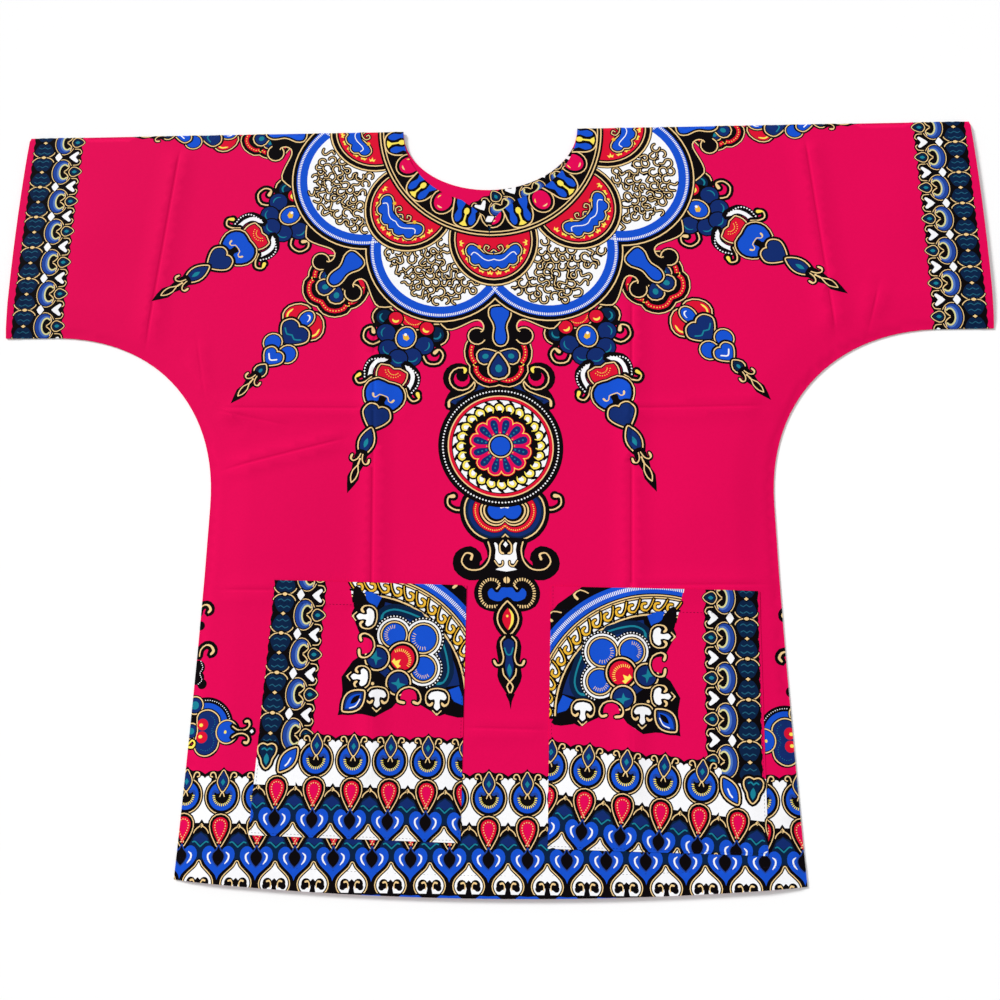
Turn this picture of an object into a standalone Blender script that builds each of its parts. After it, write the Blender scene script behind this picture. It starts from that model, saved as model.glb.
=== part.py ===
# A dashiki shirt laid flat on a table, face up, in metres.
# +X runs to the right sleeve as seen from above, +Y to the neck and +Z up off the table.
# The origin is on the table, in the middle of the shirt's outline.
#
# The shirt is one length of cotton, folded over at the shoulders, with the sleeves cut in
# one with front and back. A facing lies inside the back of the neck, and two patch pockets
# lie on the front.

import math
from collections import namedtuple

import bmesh
import bpy
import numpy as np

# The outline as laid out
SPAN = 1.056  # cuff to cuff
LENGTH = 0.802  # shoulder fold to the middle of the hem
CUFF_DEPTH = 0.243  # shoulder fold to the lower corner of a cuff
CUFF_BOW = 0.0025  # how far a cuff bulges past its corners
UNDERARM_START = 0.475  # where the sleeve's lower edge begins to turn down, from the middle
CHEST_DEPTH = 0.430  # where the underarm curve has become the side
CHEST_WIDTH = 0.575
UNDERARM_FULLNESS = 2.15  # exponent of the underarm curve: 2 is an ellipse
HEM_WIDTH = 0.591
HEM_BOW = 0.013  # how far the hem's middle lies below its corners

# The neck
NECK_X = -0.0015  # the neck hole sits slightly off the middle
NECK_WIDTH = 0.195
FRONT_NECK_DEPTH = 0.092
BACK_NECK_DEPTH = 0.075
SLIT_WIDTH = 0.050  # where the slit opens into the neck
SLIT_DEPTH = 0.047  # below the front neck's lowest point
SLIT_TAPER = 2.9  # how quickly the slit closes

# The facing inside the back of the neck
FACING_SPREAD = 0.030  # its width beside the neck
FACING_DROP = 0.092  # its width below the neck's lowest point

# Cloth
WALL = 0.0012
FACING_WALL = 0.0010
GAP = 0.0003  # between pieces that touch
LOFT = 0.0004  # air that the front keeps over the back beyond the facing's room
SEAM_REACH = 0.045  # how far from a side seam the front comes down to the back
SHOULDER_REACH = 0.035  # how far below the fold the front's waves begin
MOUTH_GAPE = 0.0010  # how far a pocket's mouth stands off the front
MOUTH_REACH = 0.050

# The grid of the sheets
CELL = 0.0225
BACK_CELL = 0.090
FOLD_STEPS = 6
CURVE_STEPS = 14
SIDE_STEPS = 5  # along the straight part of a side seam, and along a cuff
LEVEL_FOLD = 0.004  # a fold that drops less than this gets its own row of the grid
LEVEL_FOLD_END = 0.1  # the folds right of this lie level with one on the left
MARGIN = 0.006  # sheets start this much too large and are cut to shape

SHOULDER_Y = LENGTH / 2
BACK_MID = WALL / 2
FACING_MID = WALL + GAP + FACING_WALL / 2
FRONT_LOW_MID = WALL + GAP + WALL / 2
FRONT_MID = FACING_MID + FACING_WALL / 2 + GAP + WALL / 2
FOLD_RADIUS = (FRONT_MID - BACK_MID) / 2
FOLD_Y = SHOULDER_Y - FOLD_RADIUS - WALL / 2
BELOW, ABOVE = -0.010, 0.030  # cutters reach past every sheet
BETWEEN = (WALL + FACING_MID + FACING_WALL / 2 + GAP) / 2  # a level inside the body

# Folds of the front. Depths are measured down from the shoulder fold; a negative height
# is a trough. reach is the distance from the fold's line to where it has faded out.
Fold = namedtuple("Fold", "x_start depth_start x_end depth_end height reach")
FOLDS = (
    Fold(-0.124, 0.190, -0.112, 0.705, 0.0030, 0.024),  # pressed line, left of the front
    Fold(0.147, 0.200, 0.140, 0.725, 0.0030, 0.024),  # pressed line, right of the front
    Fold(-0.349, 0.030, -0.372, 0.262, 0.0026, 0.026),  # left sleeve
    Fold(0.340, 0.030, 0.363, 0.258, 0.0026, 0.026),  # right sleeve
    Fold(-0.285, 0.324, -0.098, 0.326, 0.0016, 0.022),  # across the chest, left
    Fold(0.136, 0.328, 0.284, 0.326, 0.0016, 0.022),  # across the chest, right
    Fold(-0.282, 0.515, -0.205, 0.516, 0.0014, 0.022),  # beside the left pocket's mouth
    Fold(0.143, 0.511, 0.290, 0.510, 0.0014, 0.022),  # above the right pocket's mouth
    Fold(-0.026, 0.648, 0.060, 0.650, 0.0014, 0.020),  # between the pockets
    Fold(-0.335, 0.268, -0.262, 0.345, 0.0022, 0.022),  # pull at the left underarm
    Fold(0.420, 0.150, 0.392, 0.238, 0.0020, 0.022),  # pull under the right sleeve
)

# Broad waves of the front between the folds
Wave = namedtuple("Wave", "x depth reach_x reach_y height")
WAVES = (
    Wave(-0.205, 0.430, 0.095, 0.120, 0.0018),
    Wave(0.215, 0.430, 0.090, 0.120, 0.0020),
    Wave(0.010, 0.520, 0.105, 0.150, 0.0016),
    Wave(-0.450, 0.120, 0.075, 0.085, 0.0016),
    Wave(0.445, 0.115, 0.075, 0.085, 0.0016),
    Wave(-0.180, 0.730, 0.110, 0.060, 0.0014),
    Wave(0.120, 0.740, 0.120, 0.055, 0.0014),
)

# Patch pockets: the mouth's middle, the size and the turn as sewn on
Pocket = namedtuple("Pocket", "name x mouth_depth mouth_width base_width height turn")
POCKETS = (
    Pocket("pocket_left", -0.1185, 0.509, 0.194, 0.201, 0.242, -1.6),
    Pocket("pocket_right", 0.1645, 0.515, 0.205, 0.204, 0.245, -1.3),
)

# Colours and finish of the cloth
PINK = (0.80, 0.012, 0.095)
BLUE = (0.020, 0.105, 0.560)
CLOTH_ROUGHNESS = 0.85


def clear_scene():
    for thing in list(bpy.data.objects):
        bpy.data.objects.remove(thing, do_unlink=True)


def new_collection(name):
    collection = bpy.data.collections.new(name)
    bpy.context.scene.collection.children.link(collection)
    return collection


def cloth_material(name, colour):
    material = bpy.data.materials.new(name)
    material.use_nodes = True
    shader = material.node_tree.nodes["Principled BSDF"]
    shader.inputs["Base Color"].default_value = (*colour, 1.0)
    shader.inputs["Roughness"].default_value = CLOTH_ROUGHNESS
    shader.inputs["Metallic"].default_value = 0.0
    return material


def ease(share):
    """0 to 1 with flat ends."""
    share = np.clip(share, 0.0, 1.0)
    return share * share * (3.0 - 2.0 * share)


def from_shoulder(x, depth):
    return (x, SHOULDER_Y - depth)


# Outlines


def side_line():
    """The right side seam, from the hem's corner up and round the underarm to the cuff."""
    hem_corner = LENGTH - HEM_BOW
    points = []
    for step in range(SIDE_STEPS + 1):
        share = step / SIDE_STEPS
        width = HEM_WIDTH + (CHEST_WIDTH - HEM_WIDTH) * math.sin(share * math.pi / 2)
        points.append((width / 2, hem_corner + (CHEST_DEPTH - hem_corner) * share))
    across = UNDERARM_START - CHEST_WIDTH / 2
    up = CHEST_DEPTH - CUFF_DEPTH
    power = 2 / UNDERARM_FULLNESS
    for step in range(1, CURVE_STEPS + 1):
        angle = math.pi / 2 * step / CURVE_STEPS
        x = UNDERARM_START - across * max(math.cos(angle), 0.0) ** power
        points.append((x, CHEST_DEPTH - up * math.sin(angle) ** power))
    points.append((SPAN / 2 - CUFF_BOW, CUFF_DEPTH))
    return points


def hem_line():
    """The hem from its left corner to its right one, without the corners themselves."""
    points = []
    for step in range(1, CURVE_STEPS):
        share = 2 * step / CURVE_STEPS - 1
        points.append((share * HEM_WIDTH / 2, LENGTH - HEM_BOW * share**2))
    return points


def cuff_line():
    """The right cuff, from above its lower corner to above the shoulder fold."""
    points = []
    for step in range(1, SIDE_STEPS + 1):
        share = step / SIDE_STEPS
        bow = CUFF_BOW * (1 - (2 * share - 1) ** 2)
        points.append((SPAN / 2 - CUFF_BOW + bow, CUFF_DEPTH * (1 - share)))
    points.append((SPAN / 2 - CUFF_BOW, -MARGIN))
    return points


def body_outline():
    right = side_line() + cuff_line()
    left = [(-x, depth) for x, depth in reversed(right)]
    return [from_shoulder(*point) for point in left + hem_line() + right]


def half_ellipse(half_width, depth):
    """A neck curve from left to right, which hangs from the shoulder fold."""
    points = []
    for step in range(2 * CURVE_STEPS + 1):
        angle = math.pi * step / (2 * CURVE_STEPS)
        points.append((NECK_X - half_width * math.cos(angle), depth * math.sin(angle)))
    return points


def above_shoulder(points):
    """Closes a neck curve above the shoulder fold."""
    first, last = points[0], points[-1]
    closed = [(first[0], -MARGIN)] + points + [(last[0], -MARGIN)]
    return [from_shoulder(*point) for point in closed]


def slit_half_width(share):
    return SLIT_WIDTH / 2 * (1 - share) ** SLIT_TAPER


def front_neck_line():
    """The front neck curve with the slit that opens downwards from its middle."""
    neck = half_ellipse(NECK_WIDTH / 2, FRONT_NECK_DEPTH)
    left = [p for p in neck if p[0] < NECK_X - SLIT_WIDTH / 2]
    right = [p for p in neck if p[0] > NECK_X + SLIT_WIDTH / 2]
    slit = []
    for step in range(CURVE_STEPS + 1):
        share = step / CURVE_STEPS
        slit.append((slit_half_width(share), FRONT_NECK_DEPTH + SLIT_DEPTH * share))
    down = [(NECK_X - half, depth) for half, depth in slit]
    up = [(NECK_X + half, depth) for half, depth in reversed(slit[:-1])]
    return left + down + up + right


def facing_outline():
    inner = half_ellipse(NECK_WIDTH / 2, BACK_NECK_DEPTH)
    outer = half_ellipse(NECK_WIDTH / 2 + FACING_SPREAD, BACK_NECK_DEPTH + FACING_DROP)
    below_fold = SHOULDER_Y - FOLD_Y + GAP
    ring = inner + outer[::-1]
    return [from_shoulder(x, max(depth, below_fold)) for x, depth in ring]


def pocket_outline(pocket):
    """The corners of a pocket, turned about the middle of its mouth."""
    turn = math.radians(pocket.turn)
    corners = (
        (-pocket.mouth_width / 2, 0.0),
        (-pocket.base_width / 2, -pocket.height),
        (pocket.base_width / 2, -pocket.height),
        (pocket.mouth_width / 2, 0.0),
    )
    centre_x, centre_y = from_shoulder(pocket.x, pocket.mouth_depth)
    points = []
    for across, up in corners:
        x = centre_x + across * math.cos(turn) - up * math.sin(turn)
        y = centre_y + across * math.sin(turn) + up * math.cos(turn)
        points.append((x, y))
    return points


# The form of the front


def distance_to_line(x, y, start, end):
    along = np.subtract(end, start)
    share = ((x - start[0]) * along[0] + (y - start[1]) * along[1]) / (along @ along)
    share = np.clip(share, 0.0, 1.0)
    return np.hypot(x - start[0] - share * along[0], y - start[1] - share * along[1])


def distance_to_seams(x, y):
    """How far a point is from the nearer side seam."""
    seam = [from_shoulder(*point) for point in side_line()]
    runs = zip(seam[:-1], seam[1:])
    return np.min([distance_to_line(abs(x), y, a, b) for a, b in runs], axis=0)


def fold_height(x, y, fold):
    start = from_shoulder(fold.x_start, fold.depth_start)
    end = from_shoulder(fold.x_end, fold.depth_end)
    return fold.height * ease(1 - distance_to_line(x, y, start, end) / fold.reach)


def wave_height(x, y, wave):
    centre_x, centre_y = from_shoulder(wave.x, wave.depth)
    out = np.hypot((x - centre_x) / wave.reach_x, (y - centre_y) / wave.reach_y)
    return wave.height * ease(1 - out)


def front_height(x, y):
    """The middle of the front's wall above the table."""
    room = ease(distance_to_seams(x, y) / SEAM_REACH)
    low = FRONT_LOW_MID + (FRONT_MID - FRONT_LOW_MID) * room
    relief = LOFT
    relief += sum(fold_height(x, y, fold) for fold in FOLDS)
    relief += sum(wave_height(x, y, wave) for wave in WAVES)
    below_fold = ease((FOLD_Y - y) / SHOULDER_REACH)
    return low + relief * room * below_fold


# Sheets


def stations(low, high, cell, marks=()):
    """Grid lines from low to high, one on each mark and about a cell apart between them."""
    stops = [low, *sorted(mark for mark in marks if low < mark < high), high]
    lines = [low]
    for start, end in zip(stops[:-1], stops[1:]):
        count = max(1, round((end - start) / cell))
        lines += [start + (end - start) * step / count for step in range(1, count + 1)]
    return lines


def front_columns():
    upright = [f for f in FOLDS if abs(f.x_end - f.x_start) < f.reach]
    marks = [(fold.x_start + fold.x_end) / 2 for fold in upright]
    return stations(-SPAN / 2 - MARGIN, SPAN / 2 + MARGIN, CELL, marks)


def front_rows():
    level = [f for f in FOLDS if abs(f.depth_end - f.depth_start) < LEVEL_FOLD]
    marks = [SHOULDER_Y - f.depth_start for f in level if f.x_end < LEVEL_FOLD_END]
    return stations(-SHOULDER_Y - MARGIN, FOLD_Y, CELL, marks)


def body_profile():
    """Rows of the body from front hem, over the shoulder, to back hem: y and place.

    The place is "front" or "back", or the angle round the fold, which runs from 90 to
    -90 degrees.
    """
    rows = [(y, "front") for y in front_rows()]
    for step in range(1, FOLD_STEPS):
        rows.append((FOLD_Y, math.pi / 2 - math.pi * step / FOLD_STEPS))
    back = stations(-SHOULDER_Y - MARGIN, FOLD_Y, BACK_CELL)
    rows += [(y, "back") for y in reversed(back)]
    return rows


def body_point(x, row):
    y, place = row
    if place == "front":
        return (x, y, float(front_height(x, y)))
    if place == "back":
        return (x, y, BACK_MID)
    middle = (FRONT_MID + BACK_MID) / 2
    out = FOLD_RADIUS * math.cos(place)
    return (x, y + out, middle + FOLD_RADIUS * math.sin(place))


def sheet_mesh(name, columns, rows, point):
    """A grid with its points moved to where point(column, row) puts them."""
    bm = bmesh.new()
    bmesh.ops.create_grid(
        bm, x_segments=len(columns) - 1, y_segments=len(rows) - 1, size=0.5
    )
    for vert in bm.verts:
        column = round((vert.co.x + 0.5) * (len(columns) - 1))
        row = round((vert.co.y + 0.5) * (len(rows) - 1))
        vert.co = point(columns[column], rows[row])
    bmesh.ops.triangulate(bm, faces=bm.faces[:], quad_method="FIXED")
    mesh = bpy.data.meshes.new(name)
    bm.to_mesh(mesh)
    bm.free()
    return mesh


def cloth_object(name, mesh, wall, material, collection):
    piece = bpy.data.objects.new(name, mesh)
    collection.objects.link(piece)
    mesh.materials.append(material)
    solid = piece.modifiers.new("Cloth", "SOLIDIFY")
    solid.thickness = wall
    solid.offset = 0.0
    solid.use_even_offset = True
    return piece


def flat_curve(name, points, thickness, height, collection):
    """A flat outline with a thickness, its middle at the given height."""
    curve = bpy.data.curves.new(name, "CURVE")
    curve.dimensions = "2D"
    curve.fill_mode = "BOTH"
    curve.extrude = thickness / 2
    spline = curve.splines.new("POLY")
    spline.points.add(len(points) - 1)
    for target, (x, y) in zip(spline.points, points):
        target.co = (x, y, 0.0, 1.0)
    spline.use_cyclic_u = True
    shape = bpy.data.objects.new(name, curve)
    shape.location.z = height
    collection.objects.link(shape)
    return shape


def as_mesh(shape, collection):
    """The mesh object of a curve object, with its caps welded on; the curve is removed."""
    bpy.context.view_layer.update()
    graph = bpy.context.evaluated_depsgraph_get()
    mesh = bpy.data.meshes.new_from_object(shape.evaluated_get(graph))
    bm = bmesh.new()
    bm.from_mesh(mesh)
    bmesh.ops.remove_doubles(bm, verts=bm.verts[:], dist=1e-6)
    bmesh.ops.recalc_face_normals(bm, faces=bm.faces[:])
    bm.to_mesh(mesh)
    bm.free()
    name = shape.name
    matrix = shape.matrix_world.copy()
    bpy.data.objects.remove(shape, do_unlink=True)
    solid = bpy.data.objects.new(name, mesh)
    solid.matrix_world = matrix
    collection.objects.link(solid)
    return solid


def cutter(name, points, low, high, collection):
    shape = flat_curve(name, points, high - low, (high + low) / 2, collection)
    solid = as_mesh(shape, collection)
    solid.hide_render = True
    solid.display_type = "WIRE"
    return solid


def cut(piece, tool, operation):
    modifier = piece.modifiers.new(tool.name, "BOOLEAN")
    modifier.operation = operation
    modifier.solver = "EXACT"
    modifier.object = tool


# The pieces


def make_body(parts, cutters):
    mesh = sheet_mesh("body", front_columns(), body_profile(), body_point)
    body = cloth_object("body", mesh, WALL, cloth_material("body_cotton", PINK), parts)
    outline = cutter("cut_outline", body_outline(), BELOW, ABOVE, cutters)
    back_neck = above_shoulder(half_ellipse(NECK_WIDTH / 2, BACK_NECK_DEPTH))
    front_neck = above_shoulder(front_neck_line())
    cut(body, outline, "INTERSECT")
    cut(body, cutter("cut_back_neck", back_neck, BELOW, ABOVE, cutters), "DIFFERENCE")
    cut(body, cutter("cut_front_neck", front_neck, BETWEEN, ABOVE, cutters), "DIFFERENCE")
    return body


def make_facing(parts):
    shape = flat_curve("neck_facing", facing_outline(), FACING_WALL, FACING_MID, parts)
    facing = as_mesh(shape, parts)
    facing.name = "neck_facing"
    facing.data.materials.append(cloth_material("facing_cotton", BLUE))
    return facing


def mouth_lift(x, y, pocket):
    """How far the pocket stands off the front near its mouth."""
    _, mouth_y = from_shoulder(pocket.x, pocket.mouth_depth)
    down = ease(1 - (mouth_y - y) / MOUTH_REACH)
    across = ease(1 - abs(x - pocket.x) / (pocket.mouth_width / 2))
    return MOUTH_GAPE * down * across


def make_pocket(pocket, parts, cutters):
    outline = pocket_outline(pocket)
    low_x, high_x = min(p[0] for p in outline), max(p[0] for p in outline)
    low_y, high_y = min(p[1] for p in outline), max(p[1] for p in outline)
    columns, rows = front_columns(), front_rows()
    first_x = max(i for i, x in enumerate(columns) if x < low_x)
    last_x = min(i for i, x in enumerate(columns) if x > high_x)
    first_y = max(i for i, y in enumerate(rows) if y < low_y)
    last_y = min(i for i, y in enumerate(rows) if y > high_y)

    def point(x, y):
        height = float(front_height(x, y)) + WALL + GAP
        return (x, y, height + float(mouth_lift(x, y, pocket)))

    mesh = sheet_mesh(
        pocket.name, columns[first_x : last_x + 1], rows[first_y : last_y + 1], point
    )
    material = cloth_material(pocket.name + "_cotton", PINK)
    piece = cloth_object(pocket.name, mesh, WALL, material, parts)
    tool = cutter("cut_" + pocket.name, outline, BELOW, ABOVE, cutters)
    cut(piece, tool, "INTERSECT")
    return piece


def build():
    clear_scene()
    parts = new_collection("dashiki_shirt")
    cutters = new_collection("cutters")
    shirt = bpy.data.objects.new("dashiki_shirt_laid_flat", None)
    parts.objects.link(shirt)
    pieces = [make_body(parts, cutters), make_facing(parts)]
    pieces += [make_pocket(pocket, parts, cutters) for pocket in POCKETS]
    for piece in pieces:
        piece.parent = shirt


build()
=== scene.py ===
import math

import bmesh
import bpy
import numpy as np
from mathutils import Matrix, Vector
from mathutils.geometry import delaunay_2d_cdt


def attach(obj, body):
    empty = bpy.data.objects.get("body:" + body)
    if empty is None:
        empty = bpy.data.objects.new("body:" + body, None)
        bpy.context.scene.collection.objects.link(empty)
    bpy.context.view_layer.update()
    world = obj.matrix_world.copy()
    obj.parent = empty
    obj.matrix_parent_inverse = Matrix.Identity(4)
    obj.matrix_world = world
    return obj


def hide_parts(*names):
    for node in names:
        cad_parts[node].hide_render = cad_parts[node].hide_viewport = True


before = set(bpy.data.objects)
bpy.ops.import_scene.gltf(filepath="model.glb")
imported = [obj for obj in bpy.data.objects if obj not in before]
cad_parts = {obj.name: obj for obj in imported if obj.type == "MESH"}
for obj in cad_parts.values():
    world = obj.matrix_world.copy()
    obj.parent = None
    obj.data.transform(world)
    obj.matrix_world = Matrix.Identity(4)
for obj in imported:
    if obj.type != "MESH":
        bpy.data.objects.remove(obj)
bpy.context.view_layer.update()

# A dashiki shirt laid flat, face up. The cloth is drawn flat and unfolded: x across, y up from
# the shoulder line, so the front lies below it and the back above. Then it is folded over.

inks = {   # the dyes, as the eye sees them
    "pink": (0.884, 0.020, 0.330), "red": (0.86, 0.07, 0.20), "blue": (0.085, 0.315, 0.80),
    "navy": (0.07, 0.17, 0.42), "deep": (0.035, 0.13, 0.26), "teal": (0.10, 0.50, 0.58),
    "dusk": (0.13, 0.26, 0.60), "steel": (0.30, 0.45, 0.74), "slate": (0.13, 0.36, 0.46),
    "pale": (0.86, 0.84, 0.60),
    "yellow": (0.99, 0.90, 0.36), "cream": (0.95, 0.81, 0.57), "gold": (0.93, 0.72, 0.22),
    "black": (0.035, 0.02, 0.03), "white": (0.97, 0.97, 0.98), "inside": (0.90, 0.42, 0.58),
}
inkNames = list(inks)


class Pen:   # draws shapes in painter's order, in its own place, turn, size and mirror
    def __init__(self, sheet, x=0.0, y=0.0, turn=0.0, size=1.0, flip=False):
        self.sheet, self.size = sheet, size
        c, s = math.cos(math.radians(turn)) * size, math.sin(math.radians(turn)) * size
        f = -1.0 if flip else 1.0
        self.m = np.array([[c * f, -s], [s * f, c]])
        self.o = np.array([x, y], float)

    def at(self, x=0.0, y=0.0, turn=0.0, size=1.0, flip=False):
        inner = Pen(self.sheet, 0, 0, turn, size, flip)
        inner.o = self.m @ np.array([x, y], float) + self.o
        inner.m = self.m @ inner.m
        inner.size = self.size * size
        return inner

    def shaped(self, wide, tall):
        inner = self.at()
        inner.m = inner.m @ np.diag([wide, tall])
        return inner

    def fill(self, points, ink):
        points = trimmed(np.asarray(points, float), 0.06 / max(self.size * 1000, 1e-9))
        self.sheet.append((points @ self.m.T + self.o, ink))

    def stroke(self, points, width, ink):
        points = np.asarray(points, float)
        wide = np.broadcast_to(np.asarray(width, float) / 2, len(points))
        there, back = points, points[-2:0:-1]
        self.fill(grown(np.vstack([there, back]), np.concatenate([wide, wide[-2:0:-1]]), False), ink)

    def halo(self, points, *bands):   # bands from the outside in: (reach, ink)
        for reach, ink in bands:
            self.fill(grown(points, reach), ink)

    def shape(self, points, ink, *bands):
        self.halo(points, *bands)
        self.fill(points, ink)


def trimmed(points, tolerance):   # without the points that hardly bend an outline
    for turn in range(4):
        before, after = points - np.roll(points, 1, axis=0), np.roll(points, -1, axis=0) - points
        chord = before + after
        off = np.abs(before[:, 0] * after[:, 1] - before[:, 1] * after[:, 0])
        off = off / np.maximum(np.hypot(chord[:, 0], chord[:, 1]), 1e-12)
        flat = (off < tolerance) & ((before * after).sum(axis=1) > 0)
        flat &= np.arange(len(points)) % 2 == turn % 2
        if len(points) - flat.sum() < 4:
            break
        points = points[~flat]
    return points


def area(p):
    q = np.roll(p, -1, axis=0)
    return 0.5 * float(np.sum(p[:, 0] * q[:, 1] - q[:, 0] * p[:, 1]))


def grown(points, reach, orient=True):   # the outline moved out by reach, with round outer corners
    p = np.asarray(points, float)
    reach = np.broadcast_to(np.asarray(reach, float), len(p)).copy()
    if orient and area(p) < 0:
        p, reach = p[::-1], reach[::-1]
    keep = np.hypot(*(p - np.roll(p, 1, axis=0)).T) > 1e-7
    p, reach = p[keep], reach[keep]
    step = np.roll(p, -1, axis=0) - p
    length = np.hypot(step[:, 0], step[:, 1])
    angle = np.arctan2(step[:, 1], step[:, 0])
    out = []
    for i in range(len(p)):
        a0, a1, r = angle[i - 1], angle[i], reach[i]
        turn = (a1 - a0 + math.pi) % (2 * math.pi) - math.pi
        if turn < -math.pi + 1e-6:
            turn = math.pi
        short = min(length[i - 1], length[i])
        if turn > 0.6:   # an outer corner
            count = max(1, int(math.ceil(turn / 1.05)))
            for k in range(count + 1):
                a = a0 + turn * k / count - math.pi / 2
                out.append(p[i] + r * np.array([math.cos(a), math.sin(a)]))
        elif turn < 0 and abs(r * math.tan(turn / 2)) > short * 0.5:   # a tight inner corner
            for a in (a0, None, a1):
                out.append(p[i] if a is None else p[i] + r * np.array([math.sin(a), -math.cos(a)]))
        else:
            a = a0 + turn / 2 - math.pi / 2
            out.append(p[i] + r / math.cos(turn / 2) * np.array([math.cos(a), math.sin(a)]))
    return np.array(out)


def arc(r, a0, a1, x=0.0, y=0.0, steps=None):   # from one angle to another, in degrees
    steps = steps or max(2, int(abs(a1 - a0) / 15))
    a = np.radians(np.linspace(a0, a1, steps + 1))
    return np.c_[x + r * np.cos(a), y + r * np.sin(a)]


def ring(r, x=0.0, y=0.0, steps=None, tall=1.0):
    steps = steps or max(8, min(64, int(10 + r * 2500)))
    a = np.linspace(0, 2 * math.pi, steps, endpoint=False)
    return np.c_[x + r * np.cos(a), y + tall * r * np.sin(a)]


def curve(points, closed=False, steps=4):   # smooth through its points
    p = np.asarray(points, float)
    n = len(p)
    out = []
    for i in range(n if closed else n - 1):
        a = p[(i - 1) % n] if closed or i > 0 else 2 * p[0] - p[1]
        b, c = p[i], p[(i + 1) % n]
        d = p[(i + 2) % n] if closed or i < n - 2 else 2 * p[-1] - p[-2]
        for t in np.arange(steps) / steps:
            bend = (2 * a - 5 * b + 4 * c - d) * t**2 + (3 * b - a - 3 * c + d) * t**3
            out.append(0.5 * (2 * b + (c - a) * t + bend))
    if not closed:
        out.append(p[-1])
    return np.array(out)


def mirrored(points):   # the other half of an outline that starts and ends on the line x = 0
    p = np.asarray(points, float)
    other = p[::-1] * [-1, 1]
    first = 1 if abs(p[-1, 0]) < 1e-9 else 0
    last = -1 if abs(p[0, 0]) < 1e-9 else None
    return np.vstack([p, other[first:last]])


def across(points):   # a line that starts on x = 0, with its mirror image before it
    p = np.asarray(points, float)
    return np.vstack([p[:0:-1] * [-1, 1], p])


def sweep(points):   # an open curve with few points
    return curve(points, False, 2)


def loop(points):   # a closed curve with few points
    return curve(points, True, 2)


def twin(points):   # a shape from its right half, from the line x = 0 and back to it
    return mirrored(sweep(points))


def drop(length, width, steps=9):   # point at the origin, belly towards -y
    t = np.linspace(0, math.pi, steps)
    half = width / 2 * np.sin(t) * np.sin(t / 2) ** 1.3 * 1.30
    y = -length * (1 - np.cos(t)) / 2
    return mirrored(np.c_[half * (abs(half) > 1e-12), y])


def leaf(length, width, steps=7):   # points at both ends, from the origin towards -y
    t = np.linspace(0, 1, steps)
    return mirrored(np.c_[width / 2 * np.sin(math.pi * t) ** 0.9 * (t > 0) * (t < 1), -length * t])


def heart(width, height, steps=5):   # notch at the origin, point at -y
    w, h = width / 2, height
    half = [(0, 0), (w * 0.28, h * 0.13), (w * 0.72, h * 0.10), (w, -h * 0.17), (w * 0.83, -h * 0.42),
        (w * 0.42, -h * 0.68), (0, -h * 0.87)]
    return mirrored(curve(half, False, steps))


def curl(x, y, r0, r1, a0, a1, steps=None):   # a spiral about a centre, degrees
    steps = steps or max(4, int(abs(a1 - a0) / 24))
    a = np.radians(np.linspace(a0, a1, steps + 1))
    r = np.linspace(r0, r1, steps + 1)
    return np.c_[x + r * np.cos(a), y + r * np.sin(a)]


def resampled(points, count, closed=False):
    p = np.asarray(points, float)
    if closed:
        p = np.vstack([p, p[:1]])
    s = np.concatenate([[0], np.cumsum(np.hypot(*np.diff(p, axis=0).T))])
    at = np.linspace(0, s[-1], count + 1 if closed else count)
    if closed:
        at = at[:-1]
    return np.c_[np.interp(at, s, p[:, 0]), np.interp(at, s, p[:, 1])]


def lined(pen, points, ink, edge=1.5, line=0.9, gap=1.0, lineInk="cream"):   # black, line, black, ink
    pen.shape(points, ink, (edge + line + gap, "black"), (line + gap, lineInk), (gap, "black"))


def tracery(pen, points, width=1.1, edge=1.25, ink="cream"):   # a drawn line with black edges
    pen.stroke(points, np.asarray(width) + 2 * edge, "black")
    pen.stroke(points, width, ink)


def bothSides(pen):
    return pen, pen.at(flip=True)


def dots(pen, points, size, ink, count, closed=False, sides=6):
    for x, y in resampled(points, count, closed):
        pen.fill(ring(size, x, y, sides), ink)


def rays(pen, points, inner, outer, width, ink):   # short strokes that point at the origin
    for x, y in points:
        r = math.hypot(x, y)
        a = np.array([x, y]) / r
        b = np.array([-a[1], a[0]]) * width / 2
        pen.fill([a * (r - inner) - b, a * (r + outer) - b, a * (r + outer) + b, a * (r - inner) + b],
            ink)


# The hem's border
def peacockEye(pen):   # a blue ring whose open top curls in, with pale rays
    for radius, ink in ((18.0, "black"), (16.6, "cream"), (15.7, "black"), (13.2, "blue")):
        pen.fill(ring(radius, steps=28), ink)
    core = [(0, 9.6), (1.3, 8.0), (2.0, 5.0), (3.2, 2.6), (5.4, 2.2), (7.4, 3.4), (7.9, 0.4),
        (6.6, -3.6), (3.8, -6.2), (0, -7.2)]
    core = twin(core)
    pen.fill(grown(core, 2.3), "dusk")
    pen.fill(core, "black")
    rays(pen, resampled(arc(7.3, 178, 362), 15), 0.4, 2.0, 0.85, "yellow")


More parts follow.
